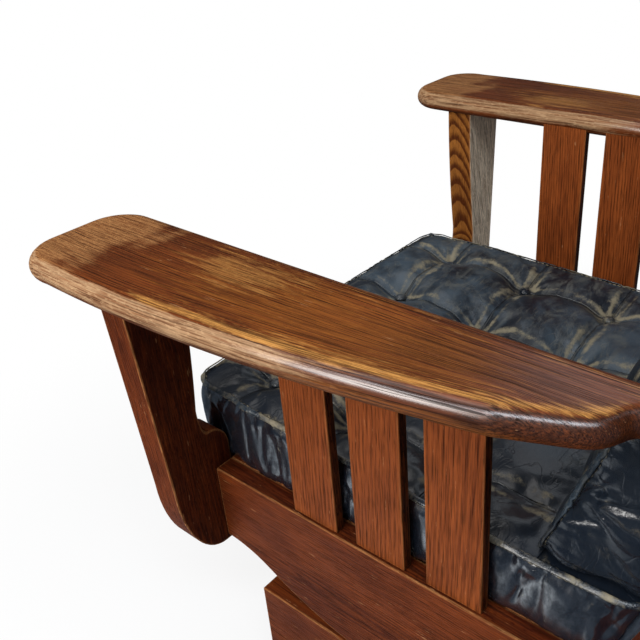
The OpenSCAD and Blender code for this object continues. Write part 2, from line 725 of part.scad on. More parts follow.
// Base side: a board on two feet, its top hollowed where the cam rolls
base_end = base_start + base_len;
floor_z = -rail_top;
arch_z = track_z - base_h;
function arch_outline() = let (a = base_start + foot_len, b = base_end - foot_len) concat(
    [[a, floor_z - over]],
    arc([a + arch_r, arch_z - arch_r], [arch_r, arch_r], 180, 90, arch_n),
    arc([b - arch_r, arch_z - arch_r], [arch_r, arch_r], 90, 0, arch_n),
    [[b, floor_z - over]]);

module cam_track(turn) translate([cam_y + cam_r * sin(turn), track_z + cam_r * cos(turn)])
    circle(cam_r + run, $fn = arc_fn);

module base_side(s) color("sienna") in_place() on_side(s) difference() {
    side_board(rail_in, rail_out) difference() {
        translate([base_start, floor_z + glide_h]) square([base_len, rail_top + track_z - glide_h]);
        polygon(arch_outline());
        cam_track(rock_back);
        cam_track(-rock_front);
    }
    foot_dowels(true);
    lower_screw_row(true);
}

base_rail_z = arch_z;
base_rail_ys = [base_start + base_rail_in + cross_t / 2, base_end - base_rail_in - cross_t / 2];
module base_rail(y) color("sienna") in_place() difference() {
    translate([-rail_in, y - cross_t / 2, base_rail_z]) cube([2 * rail_in, cross_t, base_rail_h]);
    on_both() foot_dowels(true);
}

module floor_glides() color("silver") in_place() on_both()
    for (y = [base_start + foot_len / 2, base_end - foot_len / 2])
        translate([rail_mid, y, floor_z]) cylinder(d = glide_d, h = glide_h, $fn = hole_fn);

arm(1);  // arm_left
arm(-1);  // arm_right
front_post(1);  // front_post_left
front_post(-1);  // front_post_right
back_post(1);  // back_post_left
back_post(-1);  // back_post_right
side_rail(1);  // side_rail_left
side_rail(-1);  // side_rail_right
side_slat(1, 1);  // side_slat_left_1
side_slat(1, 2);  // side_slat_left_2
side_slat(1, 3);  // side_slat_left_3
side_slat(-1, 1);  // side_slat_right_1
side_slat(-1, 2);  // side_slat_right_2
side_slat(-1, 3);  // side_slat_right_3
cross_rail(-(post_t + cross_t) / 2, front_rail_h);  // front_rail
cross_rail(rear_rail_y, rear_rail_h);  // rear_rail
crest_rail();
lower_back_rail();
back_slat(1);  // back_slat_1
back_slat(2);  // back_slat_2
back_slat(3);  // back_slat_3
back_slat(4);  // back_slat_4
back_slat(5);  // back_slat_5
seat_cleats();
deck_slat(1);  // deck_slat_1
deck_slat(2);  // deck_slat_2
deck_slat(3);  // deck_slat_3
deck_slat(4);  // deck_slat_4
deck_slat(5);  // deck_slat_5
deck_slat(6);  // deck_slat_6
corner_blocks();
seat_cushion();
back_cushion();
seat_buttons();
back_buttons();
frame_dowels();
cleat_screws();
upper_bracket(1);  // upper_bracket_left
upper_bracket(-1);  // upper_bracket_right
upper_bracket_screws();
base_side(1);  // base_side_left
base_side(-1);  // base_side_right
base_rail(base_rail_ys[0]);  // base_rail_front
base_rail(base_rail_ys[1]);  // base_rail_rear
base_dowels();
lower_bracket(1);  // lower_bracket_left
lower_bracket(-1);  // lower_bracket_right
lower_bracket_screws();
floor_glides();
spring(1, spring_ys[0]);  // spring_left_front
spring(1, spring_ys[1]);  // spring_left_rear
spring(-1, spring_ys[0]);  // spring_right_front
spring(-1, spring_ys[1]);  // spring_right_rear
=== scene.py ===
import math
import bmesh
import bpy
import numpy as np
from mathutils import Matrix, Vector
from mathutils.bvhtree import BVHTree
from mathutils.geometry import delaunay_2d_cdt


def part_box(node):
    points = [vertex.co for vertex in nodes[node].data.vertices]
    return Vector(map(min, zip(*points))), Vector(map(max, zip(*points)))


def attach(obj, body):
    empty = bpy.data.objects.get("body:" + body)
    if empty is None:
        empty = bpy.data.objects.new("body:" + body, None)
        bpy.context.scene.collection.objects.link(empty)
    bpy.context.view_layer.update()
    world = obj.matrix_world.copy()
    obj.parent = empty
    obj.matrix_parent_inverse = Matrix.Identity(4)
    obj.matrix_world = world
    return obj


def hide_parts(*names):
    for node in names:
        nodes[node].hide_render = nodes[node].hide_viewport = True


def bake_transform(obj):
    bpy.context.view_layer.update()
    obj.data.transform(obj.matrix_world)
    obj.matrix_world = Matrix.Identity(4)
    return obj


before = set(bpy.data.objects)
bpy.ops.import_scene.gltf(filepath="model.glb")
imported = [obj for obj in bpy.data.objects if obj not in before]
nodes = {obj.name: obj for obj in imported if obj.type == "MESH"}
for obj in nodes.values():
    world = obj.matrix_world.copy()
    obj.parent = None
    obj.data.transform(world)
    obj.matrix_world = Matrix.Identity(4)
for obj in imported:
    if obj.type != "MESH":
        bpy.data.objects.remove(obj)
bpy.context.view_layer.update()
scene = bpy.context.scene

# The chair's own frame, in mm: y = 0 at the front posts' rear face, z = 0 at the rail top
railLow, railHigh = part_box("side_rail_left")
rake = math.radians(20)
axisX, axisY, axisZ = Vector((1, 0, 0)), Vector((0, 1, 0)), Vector((0, 0, 1))
raked = Matrix.Rotation(-rake, 3, "X")
backY, backZ = raked @ axisY, raked @ axisZ


def toFrame(points):
    return points / 1000 + np.array((0, railLow.y, railHigh.z))


def place(x, y, z):
    return Vector(toFrame(np.array((x, y, z))))


def step(text):
    print("scene:", text, flush=True)


def addObject(name, data):
    made = bpy.data.objects.new(name, data)
    scene.collection.objects.link(made)
    return made


step("camera and light")
camera = dict(spot=(0.72709, 0.303142, 0.946452), turn=(60.3064855, 4.64943437, 131.02514937), lens=44.73)
# name: place, aim, size, power, colour
lights = dict(
    key=((2.1, -0.55, 1.5), (0.2, -0.05, 0.45), (1.1, 0.9), 45, (1.0, 0.97, 0.93)),
    along=((1.62, -0.35, 2.05), (0.34, -0.05, 0.6), (1.3, 0.25), 9, (0.93, 0.96, 1.0)),
    over=((1.05, 0.6, 2.15), (0.34, 0.1, 0.6), (1.3, 0.42), 20, (0.86, 0.93, 1.0)),
    side=((-2.1, -0.4, 2.4), (0.2, 0.1, 0.5), (1.5, 1.2), 8, (0.88, 0.94, 1.0)),
    top=((0.1, -0.9, 2.6), (0.0, 0.0, 0.5), (1.6, 1.2), 14, (1.0, 0.98, 0.96)),
)

lens = bpy.data.cameras.new("view")
lens.lens, lens.sensor_width = camera["lens"], 36
viewer = addObject("view", lens)
viewer.location = camera["spot"]
viewer.rotation_euler = [math.radians(a) for a in camera["turn"]]
scene.camera = viewer
scene.view_settings.view_transform = "Standard"

for name, (spot, aim, size, power, colour) in lights.items():
    data = bpy.data.lights.new(name, "AREA")
    data.shape, data.size, data.size_y = "RECTANGLE", *size
    data.energy, data.color = power, colour
    lamp = addObject(name, data)
    lamp.location = spot
    lamp.rotation_euler = (Vector(aim) - Vector(spot)).to_track_quat("-Z", "Y").to_euler()


# A node's output that can be added, multiplied and so on
class Value:
    def __init__(self, socket):
        self.socket = socket

    def __add__(self, other):
        return maths("ADD", self, other)

    def __sub__(self, other):
        return maths("SUBTRACT", self, other)

    def __rsub__(self, other):
        return maths("SUBTRACT", other, self)

    def __mul__(self, other):
        return maths("MULTIPLY", self, other)

    def __truediv__(self, other):
        return maths("DIVIDE", self, other)


# A Value is linked to the input, anything else is typed in
def feed(node, inputs):
    for key, value in inputs.items():
        spot = node.inputs[key]
        if isinstance(value, Value):
            node.id_data.links.new(value.socket, spot)
        else:
            spot.default_value = (*value[:3], 1) if spot.type == "RGBA" else value


def addNode(tree, kind, inputs=None, **settings):
    made = tree.nodes.new(kind)
    for key, value in settings.items():
        setattr(made, key, value)
    feed(made, inputs or {})
    return made


# A new node's output; the tree is that of the inputs if none is given
def nodeOut(kind, inputs=None, output=0, tree=None, **settings):
    tree = tree or next(v.socket.id_data for v in inputs.values() if isinstance(v, Value))
    return Value(addNode(tree, kind, inputs, **settings).outputs[output])


def maths(operation, *values, clamp=False):
    return nodeOut("ShaderNodeMath", dict(enumerate(values)), operation=operation, use_clamp=clamp)


def vectors(operation, *values):
    output = 1 if operation in ("LENGTH", "DISTANCE") else 0
    return nodeOut("ShaderNodeVectorMath", dict(enumerate(values)), output, operation=operation)


def split(vector):
    made = addNode(vector.socket.id_data, "ShaderNodeSeparateXYZ", {0: vector})
    return [Value(socket) for socket in made.outputs]


def joined(x=0.0, y=0.0, z=0.0):
    return nodeOut("ShaderNodeCombineXYZ", {0: x, 1: y, 2: z})


def mixed(share, first, second):
    return nodeOut("ShaderNodeMix", {0: share, 6: first, 7: second}, 2, data_type="RGBA")


def ramp(value, low, high, start=0.0, end=1.0):
    return nodeOut("ShaderNodeMapRange", {
        "Value": value, "From Min": low, "From Max": high, "To Min": start, "To Max": end},
        interpolation_type="SMOOTHSTEP")


# Noise of a scale, or of three scales along x, y and z
def noise(vector, scale, detail=2.0, rough=0.5, twist=0.0):
    if isinstance(scale, tuple):
        vector, scale = vectors("MULTIPLY", vector, scale), 1.0
    return nodeOut("ShaderNodeTexNoise", {
        "Vector": vector, "Scale": scale, "Detail": detail, "Roughness": rough, "Distortion": twist})


def bumped(height, distance, strength):
    return nodeOut("ShaderNodeBump", {"Height": height, "Distance": distance, "Strength": strength})


def objectSpot(tree):
    return nodeOut("ShaderNodeTexCoord", output="Object", tree=tree)


def attribute(tree, name, output="Fac"):
    return nodeOut("ShaderNodeAttribute", output=output, tree=tree, attribute_name=name)


def rayIs(tree, kind):
    return nodeOut("ShaderNodeLightPath", output=f"Is {kind} Ray", tree=tree)


kinds = dict(vector="NodeSocketVector", colour="NodeSocketColor", value="NodeSocketFloat", shape="NodeSocketGeometry",
             count="NodeSocketInt", finish="NodeSocketMaterial")


# A group whose inputs and outputs are named by kind; returns its input values and its output node
def newGroup(name, inputs, outputs, kind="ShaderNodeTree"):
    tree = bpy.data.node_groups.new(name, kind)
    for direction, wanted in (("INPUT", inputs), ("OUTPUT", outputs)):
        for sort, labels in wanted.items():
            for label in labels:
                tree.interface.new_socket(label, in_out=direction, socket_type=kinds[sort])
    given = {socket.name: Value(socket) for socket in tree.nodes.new("NodeGroupInput").outputs}
    return given, tree.nodes.new("NodeGroupOutput")


def useGroup(tree, group, inputs):
    made = addNode(tree, "ShaderNodeGroup", inputs, node_tree=group)
    return {socket.name: Value(socket) for socket in made.outputs}


def newMaterial(name):
    made = bpy.data.materials.new(name)
    made.use_nodes = True
    return made, made.node_tree, made.node_tree.nodes["Principled BSDF"]


# The world is white for the camera and dim for what lights the chair or is mirrored in it
world = bpy.data.worlds.new("white")
scene.world = world
world.use_nodes = True
tree = world.node_tree
around = mixed(rayIs(tree, "Glossy"), (0.10, 0.105, 0.115), (0.12, 0.13, 0.15))
feed(tree.nodes["Background"], {"Color": mixed(rayIs(tree, "Camera"), around, (1, 1, 1))})

# The floor glows for the camera, less near the chair, where its shadow shows. Mirrored in the chair it is dim but
# for one bright patch
floorForm = dict(half=9, shade=(0.45, 1.3, 0.72), patch=(0.6, -0.36, 0.0), patchEdge=(0.1, 0.42),
                 dim=(0.08, 0.10, 0.13), lit=(0.86, 0.93, 1.0))
floorData = bpy.data.meshes.new("floor")
half = floorForm["half"]
floorData.from_pydata([(-half, -half, 0), (half, -half, 0), (half, half, 0), (-half, half, 0)], [], [(0, 1, 2, 3)])
floor = addObject("floor", floorData)
floorPaint, tree, shader = newMaterial("floor_paint")
feed(shader, {"Base Color": (0.8, 0.8, 0.8), "Roughness": 0.9, "Specular IOR Level": 0.1})
spot = objectSpot(tree)
near, far, least = floorForm["shade"]
bright = rayIs(tree, "Camera") * ramp(vectors("LENGTH", spot), near, far, least, 1.0)
aside = vectors("DISTANCE", spot, floorForm["patch"])
mirrored = mixed(ramp(aside, *floorForm["patchEdge"], 1, 0), floorForm["dim"], floorForm["lit"])
surface = Value(shader.outputs[0])
for share, colour in ((bright, (1, 1, 1)), (rayIs(tree, "Glossy"), mirrored)):
    glow = nodeOut("ShaderNodeEmission", {"Color": colour, "Strength": 1.0}, tree=tree)
    surface = nodeOut("ShaderNodeMixShader", {0: share, 1: surface, 2: glow})
feed(tree.nodes["Material Output"], {"Surface": surface})
floorData.materials.append(floorPaint)


step("oak")


# Oak from a vector in metres along, across and into the board, measured from the heart of the log
def oakGroup():
    given, out = newGroup("oakGrain", dict(
        vector=["Grain"], colour=["Light", "Dark"], value=["Ring Gap", "Rings", "Patches"]),
        dict(colour=["Color"], value=["Height", "Poring"]))
    grain = given["Grain"]
    wobble, fine = noise(grain, (2.2, 9, 9), 3), noise(grain, (9, 60, 60))
    _, across, into = split(grain)
    across = across + (wobble * 0.02 - 0.01)
    heart = maths("SQRT", across * across + into * into)
    ring = maths("FRACT", (heart + fine * 0.0022) / given["Ring Gap"])
    early = ramp(ring, 0.0, 0.12) * ramp(ring, 0.16, 0.75, 1, 0)
    dashes = ramp(noise(grain, (15, 1050, 1050), 2, 0.6), 0.48, 0.66) * (early * 0.5 + 0.5)
    pore = maths("MAXIMUM", dashes, ramp(noise(grain, (6, 700, 700), 2, 0.55), 0.54, 0.7) * 0.9)
    streak = ramp(noise(grain, (3.5, 380, 380), 4, 0.72), 0.36, 0.64)
    thin = ramp(noise(grain, (9, 820, 820), 2, 0.6), 0.36, 0.64)
    cloud = ramp(noise(grain, (7, 18, 18), 3), 0.35, 0.68)
    tone = streak * 0.42 + thin * 0.42 + early * given["Rings"] + cloud * given["Patches"]
    tone = maths("MULTIPLY", tone, 0.6, clamp=True)
    feed(out, {"Color": mixed(tone, given["Light"], given["Dark"]), "Poring": pore,
               "Height": streak * 0.3 - (early * 0.18 + pore)})
    return out.id_data


# Wear and painted light: where the mask is high the colour turns to the given one, broken up along the grain; for
# wear masks the finish has gone there, other masks paint shade, sheen or reflection
def wearAndLightGroup():
    given, out = newGroup("wearAndPaintedLight", dict(
        vector=["Grain"], colour=["Color", "Worn"], value=["Mask", "Amount", "Breaking"]),
        dict(colour=["Color"], value=["Share"]))
    grain, mask = given["Grain"], given["Mask"]
    edge = (noise(grain, (16, 170, 170), 4, 0.62) - 0.5) * given["Breaking"] + mask
    nicks = ramp(noise(grain, (22, 620, 620), 3), 0.36, 0.6, 0.35, 1.0)
    edge = ramp(edge, 0.25, 0.75) * nicks * ramp(mask, 0.0, 0.15)
    specks = ramp(noise(grain, (150, 520, 520)), 0.54, 0.64)
    share = maths("MULTIPLY", specks * mask * 0.45 + edge, given["Amount"], clamp=True)
    feed(out, {"Color": mixed(share, given["Color"], given["Worn"]), "Share": share})
    return out.id_data


oakGrain, wearAndPaintedLight = oakGroup(), wearAndLightGroup()
oakFinish = dict(pore=(0.012, 0.003, 0.001), scuff=(0.40, 0.20, 0.09), tint=(1.0, 0.72, 0.5), shine=0.1,
                 bump=0.0003, coatRough=0.25, coatIor=1.7, open=("front", "wornPaleSheen", "patch"))


# wear: (attribute, worn colour, amount, how much the noise breaks it up); the rear mask and parts of the arm's pale
# and dark masks paint light and shade rather than wear
def oakMaterial(name, light, dark, wear=(), rings=0.5, turned=False, pores=0.8, ringGap=0.0032, patches=0.4,
                rough=0.5, gloss=None, scuffs=0.0):
    s = oakFinish
    made, tree, shader = newMaterial(name)
    grain = objectSpot(tree) if turned else attribute(tree, "grain", "Vector")
    oak = useGroup(tree, oakGrain, {"Grain": grain, "Light": light, "Dark": dark, "Rings": rings,
                                    "Ring Gap": ringGap, "Patches": patches})
    colour, poring, filled = oak["Color"], oak["Poring"], pores
    # Each mask recolours the wood: the wear masks show worn wood, the rear mask paints shade or a reflection
    for mask, worn, amount, breaking in wear:
        bare = useGroup(tree, wearAndPaintedLight, {"Grain": grain, "Mask": attribute(tree, mask), "Amount": amount,
                                         "Color": colour, "Worn": worn, "Breaking": breaking})
        colour = bare["Color"]
        if mask in s["open"]:  # there the dark filler has gone from the pores too
            filled = maths("MULTIPLY", filled, bare["Share"] * -0.7 + 1.0)
    colour = mixed(maths("MULTIPLY", poring, filled, clamp=True), colour, s["pore"])
    if scuffs:
        scuffed = ramp(noise(grain, (45, 330, 330), 3, 0.6), 0.67, 0.74, 0, scuffs)
        colour = mixed(scuffed, colour, s["scuff"])
    roughness = noise(grain, (12, 30, 30), 4) * 0.22 + (rough - 0.11) + poring * 0.2
    feed(shader, {"Base Color": colour, "Roughness": roughness, "Specular IOR Level": s["shine"],
                  "Specular Tint": s["tint"], "Normal": bumped(oak["Height"], s["bump"], 0.7)})
    if gloss:
        feed(shader, {"Coat Weight": attribute(tree, gloss) * (poring * -0.85 + 0.97),
                      "Coat Roughness": s["coatRough"], "Coat IOR": s["coatIor"]})
    return made


oaks = dict(
    # frame_oak rear: near-black painted shade on the left front post's rear face and the side rails' tops
    frame_oak=oakMaterial("frame_oak", (0.180, 0.038, 0.0075), (0.055, 0.009, 0.0028), [
        ("rear", (0.030, 0.0035, 0.0012), 0.8, 0.5), ("arris", (0.38, 0.17, 0.06), 0.5, 1.9)],
        pores=0.75, patches=0.7, scuffs=0.5),
    # slat_oak rear: near-black painted shade on the side slats' rear faces
    slat_oak=oakMaterial("slat_oak", (0.265, 0.064, 0.0135), (0.095, 0.019, 0.0045), [
        ("rear", (0.012, 0.002, 0.001), 0.9, 0.3), ("arris", (0.36, 0.14, 0.045), 0.3, 1.9)],
        rings=0.45, patches=0.55, pores=0.7, scuffs=0.4),
    plain_oak=oakMaterial("plain_oak", (0.36, 0.22, 0.12), (0.2, 0.11, 0.055), rough=0.6, pores=0.5),
    dowel_oak=oakMaterial("dowel_oak", (0.42, 0.28, 0.16), (0.26, 0.16, 0.08), rough=0.6, pores=0.4, turned=True),
    arm_oak=oakMaterial("arm_oak", (0.175, 0.041, 0.008), (0.038, 0.0075, 0.0018), [
        ("golden", (0.34, 0.115, 0.016), 0.33, 2.2), ("patch", (0.42, 0.20, 0.055), 0.45, 2.6),
        # the pale edge: worn finish with a painted broad sheen
        ("front", (0.34, 0.155, 0.055), 0.78, 0.95), ("wornPaleSheen", (0.37, 0.225, 0.12), 0.85, 1.3),
        # dark: painted shade under the edge; towards the rear end the whole edge is darker
        ("dark", (0.030, 0.008, 0.003), 0.85, 1.1), ("arris", (0.52, 0.24, 0.06), 0.9, 2.2)],
        pores=1.0, patches=0.55, gloss="gloss", scuffs=0.45),
    # post_oak rear: a painted reflection, pale grey-tan on the right front post's rear face
    post_oak=oakMaterial("post_oak", (0.3, 0.11, 0.02), (0.07, 0.016, 0.003), [
        ("arris", (0.42, 0.19, 0.07), 0.5, 1.3), ("rear", (0.95, 0.78, 0.58), 0.95, 0.4)],
        rings=1.3, ringGap=0.0036, pores=0.4),
)


step("boards")
boardForm = dict(arris=1.2, rounds=3, sharp=math.radians(25), bend=math.radians(0.4), tilt=(0.012, 0.03), post=0.038)


def loadPiece(node):
    bm = bmesh.new()
    bm.from_mesh(nodes[node].data)
    bmesh.ops.remove_doubles(bm, verts=bm.verts, dist=1e-6)
    return bm


def saveMesh(bm, name):
    mesh = bpy.data.meshes.new(name)
    for f in bm.faces:
        f.smooth = True
    bm.to_mesh(mesh)
    bm.free()
    return mesh


# Numbers of each point of a mesh: a row of three as a vector, else single values
def setLayer(mesh, name, values):
    values = np.asarray(values, np.float32)
    sort, key = ("FLOAT_VECTOR", "vector") if values.ndim > 1 else ("FLOAT", "value")
    layer = mesh.attributes.get(name) or mesh.attributes.new(name, sort, "POINT")
    layer.data.foreach_set(key, values.ravel())


def readAll(data, key, width=3):
    values = np.empty(len(data) * width)
    data.foreach_get(key, values)
    return values.reshape(-1, width) if width > 1 else values


# The outlines of a solid's largest flat face, or faces in one plane, that face along the given direction
def outlinesOf(node, towards):
    bm = loadPiece(node)
    planes = {}
    for f in bm.faces:
        if f.normal.dot(towards) > 0.9999:
            planes.setdefault(round(f.calc_center_median().dot(towards), 5), []).append(f)
    faces = set(max(planes.values(), key=lambda fs: sum(f.calc_area() for f in fs)))
    edges = {}
    for f in faces:
        for loop in f.loops:
            if sum(g in faces for g in loop.edge.link_faces) == 1:
                edges[loop.vert] = loop.link_loop_next.vert
    rings = []
    while edges:
        start, ring = next(iter(edges)), []
        while start in edges:
            ring.append(start.co.copy())
            start = edges.pop(start)
        rings.append(ring)
    bm.free()
    sizes = [sum(((a - ring[0]).cross(b - ring[0]) for a, b in zip(ring[1:], ring[2:])), Vector()).length
             for ring in rings]
    outlines = []
    for ring, size in zip(rings, sizes):
        if size > 0.5 * max(sizes):
            steps = [(p - ring[i - 1], ring[(i + 1) % len(ring)] - p) for i, p in enumerate(ring)]
            outlines.append([p for p, (a, b) in zip(ring, steps)
                             if a.length > 1e-6 and b.length > 1e-6 and a.angle(b) > boardForm["bend"]])
    return outlines


# A board with rounded arrises; a cut is (place, direction) of a plane that takes off what lies beyond it
def makeBoard(name, outlines, depth, along, heart, dark, cut):
    arris = boardForm["arris"] / 1000
    bm = bmesh.new()
    for outline in outlines:
        top = [bm.verts.new(p) for p in outline]
        low = [bm.verts.new(p + depth) for p in outline]
        bm.faces.new(top)
        bm.faces.new(low[::-1])
        for i in range(len(outline)):
            bm.faces.new((top[i - 1], low[i - 1], low[i], top[i]))
    if cut:
        geometry = bm.verts[:] + bm.edges[:] + bm.faces[:]
        made = bmesh.ops.bisect_plane(bm, geom=geometry, plane_co=cut[0], plane_no=cut[1], clear_outer=True)
        rim = [e for e in made["geom_cut"] if isinstance(e, bmesh.types.BMEdge)]
        bmesh.ops.contextual_create(bm, geom=rim)
    bmesh.ops.recalc_face_normals(bm, faces=bm.faces)
    sharp = [e for e in bm.edges if e.calc_face_angle(0) > boardForm["sharp"]]
    made = bmesh.ops.bevel(bm, geom=sharp, offset=arris, segments=boardForm["rounds"], profile=0.5, affect="EDGES",
                           clamp_overlap=True)
    rounded = set(made["faces"])
    flat = [f for f in bm.faces if f not in rounded]
    made = bmesh.ops.inset_region(bm, faces=flat, use_boundary=True, use_even_offset=True, thickness=1.1 * arris)
    rounded.update(made["faces"])
    edging = set(v for f in rounded for v in f.verts) - set(v for f in bm.faces if f not in rounded for v in f.verts)
    bmesh.ops.triangulate(bm, faces=[f for f in bm.faces if len(f.verts) > 4])
    return finishBoard(name, bm, edging, along, depth.normalized(), heart, dark)


# Layers: grain in metres from the heart of the log, arris 1 on the rounding, rear 1 where the face looks towards
# dark, a mask that carries painted shade (a painted reflection on the right front post)
def finishBoard(name, bm, edging, along, into, heart, dark=Vector()):
    bm.verts.index_update()
    marks = [float(v in edging) for v in bm.verts]
    mesh = saveMesh(bm, name)
    points = readAll(mesh.vertices, "co")
    middle = (points.min(0) + points.max(0)) / 2
    across = along.cross(into).normalized()
    grain = np.stack([(points - middle) @ np.array(v) for v in (along, across, into)], 1) + heart[:3]
    grain[:, 1:] += grain[:, :1] * np.array(heart[3:] or boardForm["tilt"])
    setLayer(mesh, "grain", grain)
    setLayer(mesh, "arris", marks)
    setLayer(mesh, "rear", [max(0, v.normal.dot(dark)) ** 4 for v in mesh.vertices])
    return addObject(name, mesh)


def repaint(piece, material):
    piece.data.materials.clear()
    piece.data.materials.append(material)


def finishPiece(piece, body, slot, material, *replaced):
    repaint(piece, material)
    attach(piece, body)
    if replaced:
        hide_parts(*replaced)


# node: face direction, grain direction, heart of the log from the board's middle and how the grain slopes
boards = {
    "front_rail": (-axisY, axisX, (0.1, 0.02, 0.03)),
    "rear_rail": (axisY, axisX, (0.2, 0.03, 0.02)),
    "crest_rail": (-backY, axisX, (-0.3, 0.005, 0.016)),
    "lower_back_rail": (-backY, axisX, (-0.1, 0.03, 0.02)),
    "base_rail_front": (-axisY, axisX, (0.4, 0.01, 0.02)),
    "base_rail_rear": (axisY, axisX, (-0.5, 0.02, 0.012)),
    "seat_cleats": (axisZ, axisY, (0.2, 0.02, 0.02)),
    "corner_blocks": (axisZ, axisX, (0.7, 0.03, 0.02)),
}
postHearts = dict(left=(0, 0.03, 0.05), right=(0, 0.07, 0.0, 0.2, 0.03))
for side, sign in (("left", 1), ("right", -1)):
    boards[f"front_post_{side}"] = (-axisY, axisZ, postHearts[side])
    boards[f"back_post_{side}"] = (-backY, backZ, (0.1, 0.02 + 0.01 * sign, 0.03))
    boards[f"side_rail_{side}"] = (axisX * sign, axisY, (0.3 * sign, 0.02, 0.022))
    boards[f"base_side_{side}"] = (axisX * sign, axisY, (0.5 * sign, 0.03, 0.02))
    for i in range(3):
        boards[f"side_slat_{side}_{i + 1}"] = (axisX * sign, axisZ, (0.3 * i + sign, 0.075 - 0.022 * i, 0.045))
for i in range(5):
    boards[f"back_slat_{i + 1}"] = (-backY, backZ, (0.6 * i, 0.06 - 0.02 * i, 0.03))
for i in range(6):
    boards[f"deck_slat_{i + 1}"] = (axisZ, axisX, (0.6 * i, 0.03 - 0.012 * i, 0.02))

for node, (towards, along, heart) in boards.items():
    points = np.array([v.co for v in nodes[node].data.vertices])
    spread = points @ np.array(towards)
    depth, cut = towards * -(spread.max() - spread.min()), None
    if node.startswith("back_post"):  # the level foot is cut after, from the longer front face
        depth = towards * -boardForm["post"]
        cut = (Vector((0, 0, points[:, 2].min())), -axisZ)
    # Faces turned towards dark get the rear mask: painted shade on the side rails' tops and on the rear faces of the
    # side slats and the left front post, a painted reflection on the right front post's rear face
    dark = axisZ if node.startswith("side_rail") else Vector()
    if node.startswith(("front_post", "side_slat")):
        dark = axisY
    slot = "frame_oak"
    if node.startswith(("side_slat", "back_slat")):
        slot = "slat_oak"
    elif node in ("seat_cleats", "corner_blocks"):
        slot = "plain_oak"
    piece = makeBoard(node + "_board", outlinesOf(node, towards), depth, along, heart, dark, cut)
    body = "base" if node.startswith("base") else "chair"
    finishPiece(piece, body, slot, oaks["post_oak" if node == "front_post_right" else slot], node)


# Smooth noise as a sum of seeded cosines, about -2 to 2; size is the wavelength in mm
def waves(points, size, seed):
    rng, count = np.random.default_rng(seed), 26
    directions = rng.normal(size=(count, points.shape[1]))
    directions /= np.linalg.norm(directions, axis=1)[:, None] * size * rng.uniform(0.6, 1.7, count)[:, None]
    return np.cos(points @ directions.T * 2 * np.pi + rng.uniform(0, 2 * np.pi, count)).sum(1) / math.sqrt(count / 2)


def fade(value, low, high):
    t = np.clip((value - low) / (high - low), 0, 1)
    return t * t * (3 - 2 * t)


def bell(value, width):
    return np.exp(-(value / width) ** 2)


step("arms")
armForm = dict(corners=((311, -56.5), (359.5, -56.5)), cornerR=33.7, bowX=-1377.5, bowR=1770.7, bowEnd=405,
               shoulder=(304, 452), shoulderR=20.7, cove=(315, 498.7), coveR=29.3, inner=277.3, outer=285.7, end=620,
               back=475, nose=13.3, under=283.8, fall=math.radians(1.04), pitch=3.5, rounds=12, net=6.5)
# Places along the arm, in mm: where the edge turns from pale (worn, with a painted sheen) to glossy, where the rear
# end begins, where the front end is bare; patch and golden are middles and widths across and along
armWear = dict(turn=(170, 350), rear=(330, 450), front=(-70, 45), patch=(308, 26, 130, 62),
               golden=(325, 60, 240, 190), rim=7.0)


def arcPoints(centre, radius, start, end, pitch):
    n = max(3, int(abs(math.radians(end - start)) * radius / pitch))
    angles = np.radians(np.linspace(start, end, n + 1))
    return [(centre[0] + radius * math.cos(a), centre[1] + radius * math.sin(a)) for a in angles]


def respaced(points, pitch):
    points = np.array(points)
    lengths = np.concatenate([[0], np.cumsum(np.linalg.norm(np.diff(points, axis=0), axis=1))])
    at = np.linspace(0, lengths[-1], int(lengths[-1] / pitch) + 1)
    return np.stack([np.interp(at, lengths, points[:, k]) for k in (0, 1)], 1)


# The arm's outline at the top of its rounded edge, from the neck along the inner side to the front and back
def armOutline(s):
    left, right = s["corners"]
    path = [(s["inner"], s["end"])]
    path += arcPoints(left, s["cornerR"], 180, 270, s["pitch"])
    path += arcPoints(right, s["cornerR"], 270, 358, s["pitch"])
    path += [(s["bowX"] + math.sqrt(s["bowR"] ** 2 - y * y), y) for y in range(-48, s["bowEnd"] + 1, 3)]
    gap = np.array(path[-1]) - s["shoulder"]
    touch = math.degrees(math.atan2(gap[1], gap[0]) + math.acos(s["shoulderR"] / np.linalg.norm(gap)))
    path += arcPoints(s["shoulder"], s["shoulderR"], touch, 58, s["pitch"])
    path += arcPoints(s["cove"], s["coveR"], 270, 180, s["pitch"])
    path += [(s["outer"], s["end"])]
    path = respaced(path, s["pitch"])
    soft = (path[:, 1] > 440) & (path[:, 1] < 520) & (path[:, 0] > s["outer"] - 1)
    for _ in range(10):
        average = (np.roll(path, 1, 0) + np.roll(path, -1, 0)) / 2
        path[soft] = (path[soft] + average[soft]) / 2
    return path


